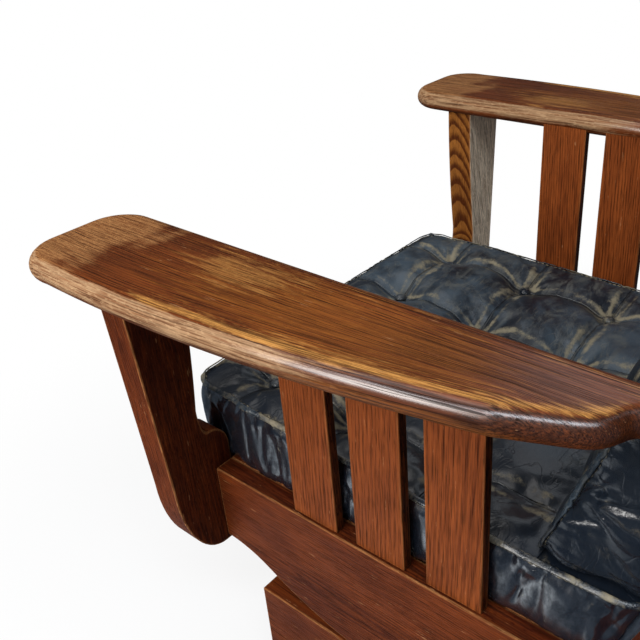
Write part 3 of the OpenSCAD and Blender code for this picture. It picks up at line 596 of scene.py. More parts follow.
def armMesh(s, sign):
    core = armOutline(s)
    ahead = np.gradient(core, axis=0)
    out = np.stack([ahead[:, 1], -ahead[:, 0]], 1) / np.linalg.norm(ahead, axis=1)[:, None]
    bm = bmesh.new()
    rows = []
    for a in np.radians(np.linspace(90, -90, s["rounds"] + 1)):
        ring = core + out * s["nose"] * math.cos(a)
        rows.append([bm.verts.new((x, y, s["nose"] * (1 + math.sin(a)))) for x, y in ring])
    n = len(core)
    for above, below in zip(rows, rows[1:]):
        for i in range(n - 1):
            bm.faces.new((above[i], below[i], below[i + 1], above[i + 1]))
    # Both flat faces get inner points, so that wear can fade in from the edge
    inner = [(x, y) for x in np.arange(s["inner"] + 4, 410, s["net"]) for y in np.arange(-95, s["end"], s["net"])]
    inner = [Vector(p) for p in inner if np.min(np.hypot(*(core - p).T)) > 3]
    edges = [(i, (i + 1) % n) for i in range(n)]
    for row, flip in ((rows[0], False), (rows[-1], True)):
        points, _, faces, origins, _, _ = delaunay_2d_cdt([Vector(p) for p in core] + inner, edges, [], 1, 1e-4)
        made = []
        for p, origin in zip(points, origins):
            first = min(origin) if origin else -1
            made.append(row[first] if 0 <= first < n else bm.verts.new((p.x, p.y, row[0].co.z)))
        for f in faces:
            corners = [made[i] for i in f]
            if len(set(corners)) == 3:
                bm.faces.new(corners[::-1] if flip else corners)
    bmesh.ops.contextual_create(bm, geom=[e for e in bm.edges if e.is_boundary])
    turn = Matrix.Rotation(-s["fall"], 3, "X")
    for v in bm.verts:
        v.co = place(*(turn @ v.co + Vector((0, 0, s["under"]))))
        v.co.x *= sign
    bmesh.ops.bisect_plane(bm, geom=bm.verts[:] + bm.edges[:] + bm.faces[:], plane_co=place(0, s["back"], 0),
                           plane_no=backY, clear_outer=True)
    bmesh.ops.holes_fill(bm, edges=[e for e in bm.edges if e.is_boundary])
    bmesh.ops.recalc_face_normals(bm, faces=bm.faces)
    return bm, core


def makeArm(side, sign, heart):
    s, w = armForm, armWear
    bm, core = armMesh(s, sign)
    piece = finishBoard(f"arm_{side}_board", bm, (), axisY, -axisZ, heart)
    mesh = piece.data
    points = readAll(mesh.vertices, "co") * 1000
    x, y = points[:, 0] * sign, points[:, 1] - railLow.y * 1000
    height = (points[:, 2] - railHigh.z * 1000 - s["under"] + y * math.tan(s["fall"])) / s["nose"] - 1
    gap = np.array([np.min(np.hypot(core[:, 0] - px, core[:, 1] - py)) for px, py in zip(x, y)])
    # Towards the outer edge the grain follows the bow
    bowed = s["bowX"] + np.sqrt(s["bowR"] ** 2 - np.minimum(np.abs(y), s["bowEnd"]) ** 2)
    grain = readAll(mesh.attributes["grain"].data, "vector")
    grain[:, 1] += sign * fade(x, 296, bowed + 6) * (bowed - s["bowX"] - s["bowR"]) / 1000
    setLayer(mesh, "grain", grain)
    outward, onTop, turned = fade(x, 280, 300), fade(height, 0.9, 0.985), fade(y, *w["turn"])
    outer = fade(x, 285, 330) * fade(height, 0.2, 0.95)
    rim = np.exp(-gap / w["rim"]) * onTop * (0.25 + 0.75 * outer) * fade(y, 20, 130)
    edge = fade(height, -1.0, 0.3) * (1 - onTop)
    cloudy = 10 * waves(points, 42, 5)
    px, wx, py, wy = w["patch"]
    gx, vx, gy, vy = w["golden"]
    low = (1 - onTop) * (1 - fade(height, -0.2, 0.4)) * fade(y, 180, 320) * (1 - fade(y, 390, 450)) * outward
    shine = np.maximum(edge * fade(height, -0.5, 0.3), (0.15 + 0.3 * fade(y, *w["rear"])) * onTop)
    # Darker under the edge as painted shade, and over the whole edge towards the rear end
    darkUnderAndRear = np.maximum(fade(height, -1.1, -0.2), fade(y, 400, 450))
    for label, values in dict(
            arris=rim,
            # the pale edge is worn finish and a painted broad sheen
            wornPaleSheen=edge * (1 - turned) * (0.8 + 0.2 * fade(x, 285, 330)),
            front=(1 - fade(y - 0.2 * (330 - x) + cloudy, *w["front"])) * fade(height, 0.2, 0.98),
            patch=bell(x - px, wx) * bell(y - py, wy) * onTop,
            golden=bell(x - gx, vx) * bell(y - gy, vy) * onTop + 1.2 * low,
            gloss=shine * turned * (1 - 0.5 * rim),
            dark=edge * fade(y, 300, 440) * darkUnderAndRear * outward).items():
        setLayer(mesh, label, values)
    finishPiece(piece, "chair", "arm_oak", oaks["arm_oak"], f"arm_{side}")


makeArm("left", 1, (0.4, 0.11, 0.06, 0.003, -0.013))
makeArm("right", -1, (-0.6, -0.09, 0.05, 0.003, -0.013))


step("cushions")
# Both cushions follow the solids: x across from the middle, v along from the front or lower end, z up, in mm
tuftGap, seatStart, backFace, clear = 126, 54, 475, 0.3
cushionForm = dict(half=252.5, bulge=3.5, crown=17, over=0, overFrom=(62, 90), channel=4, channelR=9, tuft=15,
                   tuftR=22, pitch=5.2, corner=30, xs=(-189, -63, 63, 189), button=8)
pressZ = 76.3
pressY = backFace + pressZ * math.tan(rake) - 99.8 / math.cos(rake)
seatLength = seatStart + backFace - clear / math.cos(rake)
seatStretch = 1 + pressZ * math.tan(rake) / seatLength
seatForm = dict(
    cushionForm, name="seat_cushion", length=seatLength, top=(seatStart + pressY - 8.5) / seatStretch, height=94,
    fall=18, sag=26, lean=(0, math.tan(rake)), seed=3, rows=[(79 + i * tuftGap) / seatStretch for i in range(3)],
    over=6.5, pressure=3.5, shrink=-0.03, cap=6, tuck=2, coat=dict(coat=1.0, coatIor=2.9), fill=0.7,
    band=dict(width=6.2, height=1.6, lift=0.1, ripple=0.3, sides=10, worn=0.78),
    gather=dict(gap=(8, 24), reach=34, deep=2.3, low=0.8, worn=0.8))
backStretch = 1 + 99.5 * math.tan(rake) / 530
backForm = dict(
    cushionForm, name="back_cushion", length=530, top=530, height=99.5, fall=0, sag=0, lean=(-math.tan(rake), 0),
    seed=8, rows=[265 + (i - 1.5) * tuftGap / backStretch for i in range(4)],
    pressure=5, shrink=-0.04, cap=10, tuck=7, coat=dict(coat=0.32, coatIor=1.6), fill=0.75,
    band=dict(width=6.2, height=3, lift=0.3, ripple=0.8, sides=10, worn=0.15),
    gather=dict(gap=(6, 19), reach=30, deep=2.6, low=0.9, worn=0.25),
    star=dict(v=88, z=97, lines=13, reach=(40, 105)))
backLift = (pressZ + clear - clear * math.sin(rake)) / math.cos(rake)


def onSeat(points):
    return points + (0, -seatStart, clear)


def onBack(points):
    y, z = -clear - points[:, 2], points[:, 1] + backLift
    c, s = math.cos(rake), math.sin(rake)
    return np.stack([points[:, 0], backFace + y * c + z * s, -y * s + z * c], 1)


# Distance to the nearest of the places, with its sign
def nearest(values, places):
    gaps = np.stack([values - p for p in places], 1)
    return gaps[np.arange(len(values)), np.abs(gaps).argmin(1)]


def seamHeight(s, v):
    return s["height"] - s["fall"] * np.minimum(1, v / s["top"])


def topHeight(s, x, v):
    t, a = v / s["top"], x / s["half"]
    rise = np.clip((1 - a ** 4) * (1 - np.abs(2 * np.minimum(t, 1) - 1) ** 4), 0, 1)
    sew = np.minimum(1, 4 * rise)
    across, along = nearest(x, s["xs"]), nearest(v, s["rows"])
    made = s["crown"] * rise - s["sag"] * (1 - a * a) * 6.75 * t * t * (1 - np.minimum(t, 1))
    made -= sew * (s["channel"] * np.maximum(bell(across, s["channelR"]), bell(along, s["channelR"]))
                   + s["tuft"] * bell(np.maximum(np.hypot(across, along) - s["button"], 0), s["tuftR"]))
    return seamHeight(s, v) + np.where(t >= 1, 0, made)


# Cells across and along, and the indices of the points around the top's edge
def rimOf(s):
    nx, ny = round(2 * s["half"] / s["pitch"]), round(s["length"] / s["pitch"])
    return nx, ny, ([i for i in range(nx)] + [j * (nx + 1) + nx for j in range(ny)]
                    + [ny * (nx + 1) + i for i in range(nx, 0, -1)] + [j * (nx + 1) for j in range(ny, 0, -1)])


# A closed grid: crowned top (kind 0), boxing (1) and underside (2)
def cushionGrid(s):
    nx, ny, rim = rimOf(s)
    gx, gv = [g.ravel() for g in np.meshgrid(np.linspace(-s["half"], s["half"], nx + 1),
                                             np.linspace(0, s["length"], ny + 1))]
    rows = max(6, round(s["height"] / s["pitch"]))
    rx, rv = gx[rim], gv[rim]
    parts = [(gx, gv, topHeight(s, gx, gv), np.zeros(len(gx)))]
    parts += [(rx, rv, seamHeight(s, rv) * (1 - k / rows), np.full(len(rim), 1.0)) for k in range(1, rows)]
    parts += [(gx, gv, np.zeros(len(gx)), np.full(len(gx), 2.0))]
    starts = np.cumsum([0] + [len(part[0]) for part in parts])
    faces = []
    for j in range(ny):
        for i in range(nx):
            a = j * (nx + 1) + i
            quad = np.array((a, a + 1, a + nx + 2, a + nx + 1))
            faces.append(quad.tolist())
            faces.append((quad[::-1] + starts[rows]).tolist())
    levels = [rim] + [list(range(starts[k], starts[k + 1])) for k in range(1, rows)]
    levels.append([starts[rows] + r for r in rim])
    for above, below in zip(levels, levels[1:]):
        for i in range(len(rim)):
            n = (i + 1) % len(rim)
            faces.append((above[i], below[i], below[n], above[n]))
    return [np.concatenate(part) for part in zip(*parts)], faces


# Bends the grid to the cushion's shape: rounded corners, bulging boxing, drawn in corners, lean
def shaped(s, x, v, z, kind):
    half, length, r = s["half"], s["length"], s["corner"]
    middle = length / 2
    u = np.clip((np.abs(x) - half + r) / r, 0, 1)
    w = np.clip((np.abs(v - middle) - middle + r) / r, 0, 1)
    nx = np.where(np.abs(x) > half - r, half - r + r * u * np.sqrt(1 - w * w / 2), np.abs(x)) * np.sign(x)
    nv = np.where(np.abs(v - middle) > middle - r, middle - r + r * w * np.sqrt(1 - u * u / 2),
                  np.abs(v - middle)) * np.sign(v - middle)
    t = np.clip(z / seamHeight(s, v), 0, 1)
    out = np.where(kind == 1, s["bulge"] * (1 - (2 * t - 1) ** 4), 0)
    over = s["over"] * fade(v, *s["overFrom"]) * np.where(kind == 0, t * 0.6, 1 - 0.4 * t)  # onto the rails
    # The boxing's lower edge is round, its upper edge meets the top at the seam
    under = np.clip(1 - z / 12, 0, 1) ** 2 * s["tuck"]
    a, b = x / half, (v - middle) / middle
    shift = np.where(np.maximum(np.abs(a), np.abs(b)) > 0.999, out - under, 0)
    nx += np.where(np.abs(a) > 0.999, np.sign(a) * (shift + over), 0)
    nv += np.where(np.abs(b) > 0.999, np.sign(b) * shift, 0)
    lean = s["lean"][0] * (1 - v / length) + s["lean"][1] * v / length
    return np.stack([nx, nv + middle + z * lean, z], 1)


# Inflates the leather between its seams and tufts; the result is capped, then kept
def inflate(s, piece, x, v, kind):
    mesh = piece.data
    rest = readAll(mesh.vertices, "co")
    across, along = np.abs(nearest(x, s["xs"])), np.abs(nearest(v, s["rows"]))
    edge = np.minimum(s["half"] - np.abs(x), np.minimum(v, s["length"] - v))
    hold = np.where(kind == 2, 1.0, 0.0)
    for held, share in ((np.hypot(across, along) < 12, 1), ((across < 3) | (along < 3), 0.5), (edge < 3, 0.9),
                        (v > s["top"] - 4, 1)):
        hold = np.maximum(hold, np.where((kind == 0) & held, share, 0))
    group = piece.vertex_groups.new(name="held")
    for i in np.nonzero(hold)[0]:
        group.add([int(i)], float(hold[i]), "REPLACE")
    cloth = piece.modifiers.new("cloth", "CLOTH")
    c = cloth.settings
    c.quality, c.mass, c.air_damping = 6, 0.3, 1.0
    c.tension_stiffness = c.compression_stiffness = 12
    c.shear_stiffness, c.bending_stiffness = 4, 0.35
    c.use_pressure, c.uniform_pressure_force = True, s["pressure"]
    c.shrink_min = s["shrink"]
    c.vertex_group_mass, c.pin_stiffness = "held", 1.0
    c.effector_weights.gravity = 0
    cloth.collision_settings.use_collision = False
    cloth.point_cache.frame_start, cloth.point_cache.frame_end = 1, 20
    for f in range(1, 21):
        scene.frame_set(f)
    shown = piece.evaluated_get(bpy.context.evaluated_depsgraph_get())
    shift = readAll(shown.data.vertices, "co") - rest
    scene.frame_set(1)
    piece.modifiers.remove(cloth)
    piece.vertex_groups.clear()
    far = np.linalg.norm(shift, axis=1)
    step(f"{s['name']} moved up to {round(far.max() * 1000, 1)} mm")
    made = rest + shift * (np.minimum(far, s["cap"] / 1000) / np.maximum(far, 1e-9))[:, None]
    wide = (s["half"] + s["bulge"] + clear + s["over"] * 0.8 * fade(v, *s["overFrom"])) / 1000
    made[:, 0] = np.clip(made[:, 0], -wide, wide)
    mesh.vertices.foreach_set("co", made.ravel())
    mesh.update()


# Creases that run out from every tuft, and the bowed worn ridges on both sides of each channel
def tuftLines(s, x, v):
    rng = np.random.default_rng(s["seed"])
    depth, worn = np.zeros(len(x)), np.zeros(len(x))
    for cx in s["xs"]:
        for cv in s["rows"]:
            r, angle = np.hypot(x - cx, v - cv), np.arctan2(v - cv, x - cx)
            for _ in range(9):
                turn, reach, size = rng.uniform(-math.pi, math.pi), rng.uniform(18, 52), rng.uniform(0.5, 1.3)
                off = np.angle(np.exp(1j * (angle - turn - rng.uniform(-0.006, 0.006) * r))) * r
                fall = bell(r, reach) * fade(r, 7, 14)
                depth -= 1.5 * size * bell(off, 1.3 + 0.06 * r) * fall
                worn += 0.55 * size * bell(off - 2.6 - 0.05 * r, 1.6 + 0.05 * r) * fall
    across, along = nearest(x, s["xs"]), nearest(v, s["rows"])
    for gap, other in ((across, along), (along, across)):
        share = np.clip(np.abs(other) / (tuftGap / 2), 0, 1)
        for sign in (-1, 1):
            band = bell(gap * sign - 2 - 11 * np.sqrt(share), 2.5 + 3.5 * share)
            worn += band * (1.0 - 0.35 * share) * fade(np.abs(other), 3, 12)
        worn += 0.35 * bell(gap, 3.0)
    return depth, worn


# Puckers that run from the seams across the boxing: their depth in mm and the lit ridges beside them, a painted
# highlight on one side of each pucker
def gathers(s, x, v, z):
    half, length, g = s["half"], s["length"], s["gather"]
    around = np.where(v < 0.5, x + half, np.where(x > half - 0.5, 2 * half + v, np.where(
        v > length - 0.5, 3 * half + length - x, 4 * half + 2 * length - v)))
    rng = np.random.default_rng(s["seed"] + 40)
    depth, lit = np.zeros(len(x)), np.zeros(len(x))
    for below, size in ((np.clip(seamHeight(s, v) - z, 0, None), 1.0), (z, g["low"])):
        at = 0
        while at < 4 * half + 2 * length:
            at += rng.uniform(*g["gap"])
            reach, slant, deep = rng.exponential(g["reach"]) + 9, rng.normal() * 0.22, size * rng.uniform(0.35, 1.2)
            width = 1.7 + 0.05 * below
            off = around - at - slant * below - 0.0022 * rng.normal() * below ** 2
            fall = deep * np.exp(-(below / reach) ** 1.5) * fade(below, 1.5, 5)
            depth, lit = depth + bell(off, width) * fall, lit + 0.5 * bell(off - 1.8 * width, width) * fall
    return depth, lit


# Deep creases that run out over the boxing from one place of the seam, with a painted highlight on one side of each
def star(s, v, z):
    g = s["star"]
    rng = np.random.default_rng(s["seed"] + 60)
    r, angle = np.hypot(v - g["v"], g["z"] - z), np.arctan2(v - g["v"], g["z"] - z)
    depth, lit = np.zeros(len(v)), np.zeros(len(v))
    for turn in np.linspace(-1.45, 1.45, g["lines"]) + rng.normal(size=g["lines"]) * 0.07:
        reach, bend, size = rng.uniform(*g["reach"]), rng.normal() * 0.002, rng.uniform(0.6, 1.3)
        off, width = (angle - turn - bend * r) * r, 1.6 + 0.05 * r
        fall = size * bell(r, reach) * fade(r, 3, 12)
        depth, lit = depth + bell(off, width) * fall, lit + 0.4 * bell(off - 1.7 * width, width) * fall
    return depth, lit


# How far each point of the fine mesh is pushed out, in mm, and how worn it is; on the boxing this also holds the
# painted highlights beside the puckers
def creases(s, co, panel, boxing, under):
    x, v, z = panel.T
    top, boxed = (boxing < 0.5) & (under < 0.5), boxing > 0.5
    edge = np.minimum(s["half"] - np.abs(x), np.minimum(v, s["length"] - v))
    depth, lines = tuftLines(s, x, v)
    inside = fade(edge, 2, 22)
    ridge = bell(waves(co * (1, 0.6, 1), 60, s["seed"] + 2), 0.12) * fade(waves(co, 120, s["seed"] + 3), 0.4, 1.4)
    broad = 0.7 * waves(co, 85, s["seed"] + 1) + 1.5 * np.tanh(1.3 * waves(co * (1, 0.55, 1), 105, s["seed"] + 7))
    push = np.where(top, depth * fade(edge, 2, 10) + (broad - 0.7 * ridge) * inside, 0)
    pleats, lit = gathers(s, x, v, z)
    if "star" in s:
        starred, starLit = star(s, v, z)
        pleats, lit = pleats + starred * (x > 0), lit + starLit * (x > 0)
    below = np.clip(seamHeight(s, v) - z, 0, None)
    box = 1.5 * waves(co, 70, s["seed"] + 5) * fade(below, 4, 25) - s["gather"]["deep"] * pleats
    push += np.where(boxed, np.minimum(box, 2.0) * fade(z, 0, 6), 0)
    worn = np.where(top, lines * inside + 0.2 * ridge + 0.6 * np.exp(-edge / 5), 0)
    # the tan beside each pucker on the boxing is a painted highlight as well as wear
    worn += np.where(boxed, s["gather"]["worn"] * (0.7 * np.exp(-below / 4) + 0.35 * np.exp(-z / 5) + lit), 0)
    return push, np.clip(worn, 0, 1.2)


# The cover, and the seam where top and boxing meet as points and outward directions in metres
def makeCushion(s, onto):
    (x, v, z, kind), faces = cushionGrid(s)
    raw = bpy.data.meshes.new(s["name"])
    raw.from_pydata(toFrame(onto(shaped(s, x, v, z, kind))).tolist(), [], faces)
    bm = bmesh.new()
    bm.from_mesh(raw)
    bmesh.ops.recalc_face_normals(bm, faces=bm.faces)
    mesh = saveMesh(bm, s["name"] + "_grid")
    piece = addObject(s["name"] + "_cover", mesh)
    inflate(s, piece, x, v, kind)
    setLayer(mesh, "panel", np.stack([x, v, z], 1) / 1000)
    setLayer(mesh, "boxing", kind == 1)
    setLayer(mesh, "under", kind == 2)
    smooth = piece.modifiers.new("smooth", "SUBSURF")
    smooth.levels = smooth.render_levels = 1
    fine = bpy.data.meshes.new_from_object(piece.evaluated_get(bpy.context.evaluated_depsgraph_get()))
    piece.modifiers.clear()
    seamRing = [(mesh.vertices[i].co.copy(), mesh.vertices[i].normal.copy()) for i in rimOf(s)[2]]
    piece.data = fine
    co, normals = readAll(fine.vertices, "co"), readAll(fine.vertices, "normal")
    panel = readAll(fine.attributes["panel"].data, "vector") * 1000
    boxing, under = (readAll(fine.attributes[name].data, "value", 1) for name in ("boxing", "under"))
    push, worn = creases(s, co * 1000, panel, boxing, under)
    fine.vertices.foreach_set("co", (co + normals * push[:, None] / 1000).ravel())
    setLayer(fine, "worn", worn)
    fine.update()
    return piece, seamRing


# Outward, forward and sideways of each point of a closed seam
def alongSeam(ring):
    for i, (spot, out) in enumerate(ring):
        ahead = (ring[(i + 1) % len(ring)][0] - ring[i - 1][0]).normalized()
        yield i, spot, out, ahead.cross(out).normalized()


# The felled seam: a raised band along the path, lying on the boxing just below the edge
def makeSeam(s, ring):
    band = s["band"]
    n, m = len(ring), band["sides"]
    rng = np.random.default_rng(s["seed"] + 20)
    ripple = np.convolve(np.tile(rng.normal(size=n), 3), np.ones(3) / 3, "same")[n:2 * n]
    bm = bmesh.new()
    rows = []
    for i, spot, out, side in alongSeam(ring):
        centre = spot + out * (band["lift"] + band["ripple"] * ripple[i]) / 1000
        profile = []
        for a in np.arange(m) * 2 * math.pi / m:
            w = math.copysign(abs(math.cos(a)) ** 0.7, math.cos(a)) * band["width"] / 2
            profile.append(bm.verts.new(centre + (side * w + out * math.sin(a) * band["height"] / 2) / 1000))
        rows.append(profile)
    for i in range(n):
        a, b = rows[i], rows[(i + 1) % n]
        for k in range(m):
            bm.faces.new((a[k], a[(k + 1) % m], b[(k + 1) % m], b[k]))
    bmesh.ops.recalc_face_normals(bm, faces=bm.faces)
    mesh = saveMesh(bm, s["name"] + "_seam")
    spots = np.array([v.co for v in mesh.vertices]) * 1000
    setLayer(mesh, "worn", band["worn"] * (0.78 + 0.22 * waves(spots, 26, s["seed"] + 30)))
    return addObject(s["name"] + "_seam", mesh)


# Leather grain, dust clouds and scuffs, from object coordinates in metres
def leatherGroup():
    given, out = newGroup("oldLeather", dict(
        vector=["Place"], colour=["Deep", "Dull", "Tan"], value=["Worn", "Dust"]),
        dict(colour=["Color"], value=["Roughness", "Height"]))
    spot, dustAndShade, worn, dull, tan = (given[name] for name in ("Place", "Dust", "Worn", "Dull", "Tan"))
    cloud = ramp(noise(spot, 11, 5, 0.65, 0.5), 0.36, 0.62)
    haze = ramp(noise(spot, (24, 48, 24), 6, 0.74, 0.7), 0.46, 0.66) * (dustAndShade * 0.55)
    patch = ramp(noise(spot, 17, 4, 0.6), 0.42, 0.7)
    scratch = ramp(noise(spot, (45.5, 338, 130), 3, 0.6, 0.3), 0.6, 0.7)
    folds = noise(spot, (21, 35.7, 21), 3, 0.5, 0.8)
    lines = ramp(maths("ABSOLUTE", folds - 0.5), 0.0, 0.02, 1, 0)
    pebble = nodeOut("ShaderNodeTexVoronoi", {"Vector": spot, "Scale": 800.0}, "Distance", feature="SMOOTH_F1")
    colour = mixed(haze, mixed(cloud * dustAndShade, given["Deep"], dull), mixed(0.36, dull, tan))
    share = (noise(spot, 170, 4, 0.72) - 0.5) * 1.5 + worn + (patch - 0.5) * 0.7
    share = ramp(share, 0.2, 1.0) * ramp(worn, 0.0, 0.3)
    fine = maths("MAXIMUM", scratch * (patch * 0.4), lines * (cloud * 0.22))
    wear = maths("MAXIMUM", share, fine * dustAndShade)
    feed(out, {"Color": mixed(maths("MULTIPLY", wear, 0.85, clamp=True), colour, tan),
               "Roughness": wear * 0.3 + haze * 0.45 + dustAndShade * 0.10 + 0.2,
               "Height": pebble * -0.12 + lines * -0.22 + noise(spot, 30, 4, 0.6) * 0.9})
    return out.id_data


oldLeather = leatherGroup()
leatherForm = dict(deep=(0.0045, 0.0072, 0.0125), dull=(0.043, 0.063, 0.083), tan=(0.23, 0.195, 0.125),
                   groove=(0.004, 0.005, 0.006), shine=0.42, coatRough=0.23, bump=0.0011)


# quilted: place of the first channel along the cushion and the pitch of the channels, in metres
def leatherMaterial(name, dull=leatherForm["dull"], dustAndShade=0.9, quilted=None, coat=0.0, coatIor=1.5):
    s = leatherForm
    made, tree, shader = newMaterial(name)
    spot = objectSpot(tree)
    if quilted:  # the boxing and the side towards +x are kept darker, the boxing is glossier; towards +x the darkening is painted shade, on the boxing it is less dust
        boxed, panel = attribute(tree, "boxing"), split(attribute(tree, "panel", "Vector"))
        # towards +x the dust is taken away as painted shade
        kept = maths("MAXIMUM", boxed * 0.9, ramp(panel[0], 0.03, 0.17, 0, 0.95))
        dustAndShade = (1.0 - kept) * dustAndShade
        rubbed = ramp(noise(spot, (60, 60, 36), 6, 0.78), 0.4, 0.6, 0.25, 1.0)
        feed(shader, {"Coat Weight": boxed * (rubbed * coat), "Coat Roughness": s["coatRough"], "Coat IOR": coatIor})
    hide = useGroup(tree, oldLeather, {"Place": spot, "Worn": attribute(tree, "worn"), "Deep": s["deep"],
                                       "Dull": dull, "Tan": s["tan"], "Dust": dustAndShade})
    colour, rough, height = hide["Color"], hide["Roughness"], hide["Height"]
    if quilted:  # a fine groove along the sewn channels
        gaps = []
        for value, start, pitch in ((panel[0], -tuftGap / 2000, tuftGap / 1000), (panel[1], *quilted)):
            share = (value - start) / pitch
            gaps.append(maths("ABSOLUTE", share - maths("ROUND", share)) * pitch)
        flatTop = 1.0 - maths("MAXIMUM", boxed, attribute(tree, "under"))
        groove = ramp(maths("MINIMUM", *gaps), 0.0006, 0.0022, 1, 0) * flatTop
        height = groove * -1.6 + height
        colour = mixed(groove * 0.6, colour, s["groove"])
        rough = rough + (boxed * -0.12 + 0.12)
    feed(shader, {"Base Color": colour, "Roughness": rough, "Specular IOR Level": s["shine"],
                  "Normal": bumped(height, s["bump"], 0.8)})
    return made


seamLeather = leatherMaterial("seam_leather", dustAndShade=0.5)
seams = {}
for form, onto in ((seatForm, onSeat), (backForm, onBack)):
    cushion, ring = makeCushion(form, onto)
    first, second = (row / 1000 for row in form["rows"][:2])
    leather = leatherMaterial(form["name"] + "_leather", quilted=(first, second - first), **form["coat"])
    finishPiece(cushion, "chair", "leather", leather, form["name"])
    finishPiece(makeSeam(form, ring), "chair", "leather", seamLeather)
    seams[form["name"]] = (cushion, ring)


step("stitches, buttons, screws and springs")


# Geometry Nodes trees: each takes points or a line as Geometry, and a material as Finish
def shapeTree(name, **inputs):
    return newGroup(name, dict(shape=["Geometry"], finish=["Finish"], **inputs), dict(shape=["Geometry"]),
                    "GeometryNodeTree")


def geo(kind, *rest, **settings):
    return nodeOut("GeometryNode" + kind, *rest, **settings)


def finishTree(given, out, shape):
    real = geo("RealizeInstances", {"Geometry": shape})
    smooth = geo("SetShadeSmooth", {"Geometry": real})
    feed(out, {"Geometry": geo("SetMaterial", {"Geometry": smooth, "Material": given["Finish"]})})
    return out.id_data


def onPoints(points, shape, **settings):
    return geo("InstanceOnPoints", {"Points": points, "Instance": shape, **settings})


def moved(shape, **settings):
    return geo("Transform", {"Geometry": shape, **settings})


def turnOf(tree):
    return geo("InputNamedAttribute", {"Name": "turn"}, tree=tree, data_type="FLOAT_VECTOR")


# Runs a tree on a mesh of points or lines and returns the plain mesh as a piece
def runTree(name, tree, points, edges, values, turns=None):
    mesh = bpy.data.meshes.new(name + "_path")
    mesh.from_pydata([tuple(p) for p in points], edges, [])
    if turns:
        setLayer(mesh, "turn", turns)
    carrier = addObject(name + "_path", mesh)
    made = carrier.modifiers.new("shape", "NODES")
    made.node_group = tree
    for item in tree.interface.items_tree:
        if item.in_out == "INPUT" and item.name in values:
            made[item.identifier] = values[item.name]
    shape = bpy.data.meshes.new_from_object(carrier.evaluated_get(bpy.context.evaluated_depsgraph_get()))
    bpy.data.objects.remove(carrier)
    shape.name = name
    return addObject(name, shape)


# Stitches along a line: short thick threads that dip into the leather at both ends
def stitchTree():
    given, out = shapeTree("stitches", value=["Spacing", "Length", "Thread"], count=["Seed"])
    tree, thick = out.id_data, given["Thread"]
    line = geo("MeshToCurve", {"Mesh": given["Geometry"]})
    line = geo("ResampleCurve", {"Curve": line, "Length": given["Spacing"]}, mode="LENGTH")
    ahead = geo("InputTangent", tree=tree)
    turn = nodeOut("FunctionNodeAlignRotationToVector", {"Vector": ahead}, axis="X")
    thread = geo("MeshIcoSphere", {"Radius": 1.0, "Subdivisions": 2}, tree=tree)
    vary = nodeOut("FunctionNodeRandomValue", {
        "Min": (0.8, 0.8, 0.8), "Max": (1.1, 1.2, 1.2), "Seed": given["Seed"]}, data_type="FLOAT_VECTOR")
    size = vectors("MULTIPLY", joined(given["Length"] * 0.5, thick, thick), vary)
    return finishTree(given, out, onPoints(line, thread, Rotation=turn, Scale=size))


# Slotted round head screws, one at each point, their heads turned by the attribute "turn"
def screwTree():
    given, out = shapeTree("screws", value=["Head", "Shank", "Length", "Slot"])
    tree, head, length = out.id_data, given["Head"], given["Length"]
    wide = head * 4.0
    ball = geo("MeshUVSphere", {"Segments": 24, "Rings": 12, "Radius": head})
    upper = geo("MeshCube", {"Size": joined(wide, wide, head)})
    dome = addNode(tree, "GeometryNodeMeshBoolean", operation="INTERSECT")
    feed(dome, {"Mesh 2": moved(ball, Scale=(1.0, 1.0, 0.8))})
    feed(dome, {"Mesh 2": moved(upper, Translation=joined(z=head * 0.5))})
    slot = geo("MeshCube", {"Size": joined(wide, given["Slot"], head)})
    slot = moved(slot, Translation=joined(z=head * 0.93))
    cut = geo("MeshBoolean", {"Mesh 1": Value(dome.outputs[0]), "Mesh 2": slot}, operation="DIFFERENCE")
    shank = geo("MeshCylinder", {"Vertices": 16, "Radius": given["Shank"], "Depth": length}, "Mesh")
    whole = addNode(tree, "GeometryNodeJoinGeometry", {0: cut})
    feed(whole, {0: moved(shank, Translation=joined(z=length * -0.5))})
    return finishTree(given, out, onPoints(given["Geometry"], Value(whole.outputs[0]), Rotation=turnOf(tree)))


# Leather covered buttons: a dome whose lower half is pressed flat to form the rim
def buttonTree():
    given, out = shapeTree("buttons", value=["Radius", "Height"])
    tree, radius = out.id_data, given["Radius"]
    ball = geo("MeshUVSphere", {"Segments": 28, "Rings": 14, "Radius": 1.0}, tree=tree)
    x, y, z = split(geo("InputPosition", tree=tree))
    folded = joined(x, y, z * maths("GREATER_THAN", z, 0.0))
    ball = geo("SetPosition", {"Geometry": ball, "Position": folded})
    ball = geo("MergeByDistance", {"Geometry": ball, "Distance": 0.0005})
    size = joined(radius, radius, given["Height"])
    return finishTree(given, out, onPoints(given["Geometry"], ball, Rotation=turnOf(tree), Scale=size))


# A coil with closed end turns, wound up from its lowest point
def coilTree():
    given, out = shapeTree("coil", value=["Turns", "Radius", "Wire", "End Pitch", "Pitch", "Start", "Winding"])
    tree, turns, radius = out.id_data, given["Turns"], given["Radius"]
    count = turns * 40
    line = geo("MeshLine", {"Count": count, "Offset": (0, 0, 0.001)})
    turn = geo("InputIndex", tree=tree) * turns / (count - 1)
    angle, last = turn * (2 * math.pi), turns - 1
    ends = maths("MINIMUM", turn, 1) + maths("MAXIMUM", turn - last, 0)
    middle = maths("MINIMUM", maths("MAXIMUM", turn, 1), last) - 1
    height = middle * given["Pitch"] + ends * given["End Pitch"] + given["Start"]
    spot = joined(maths("COSINE", angle) * (radius * given["Winding"]), maths("SINE", angle) * radius, height)
    line = geo("SetPosition", {"Geometry": line, "Position": spot})
    path = geo("MeshToCurve", {"Mesh": line})
    wire = geo("CurvePrimitiveCircle", {"Resolution": 12, "Radius": given["Wire"]})
    coil = geo("CurveToMesh", {"Curve": path, "Profile Curve": wire, "Fill Caps": True})
    return finishTree(given, out, onPoints(given["Geometry"], coil))


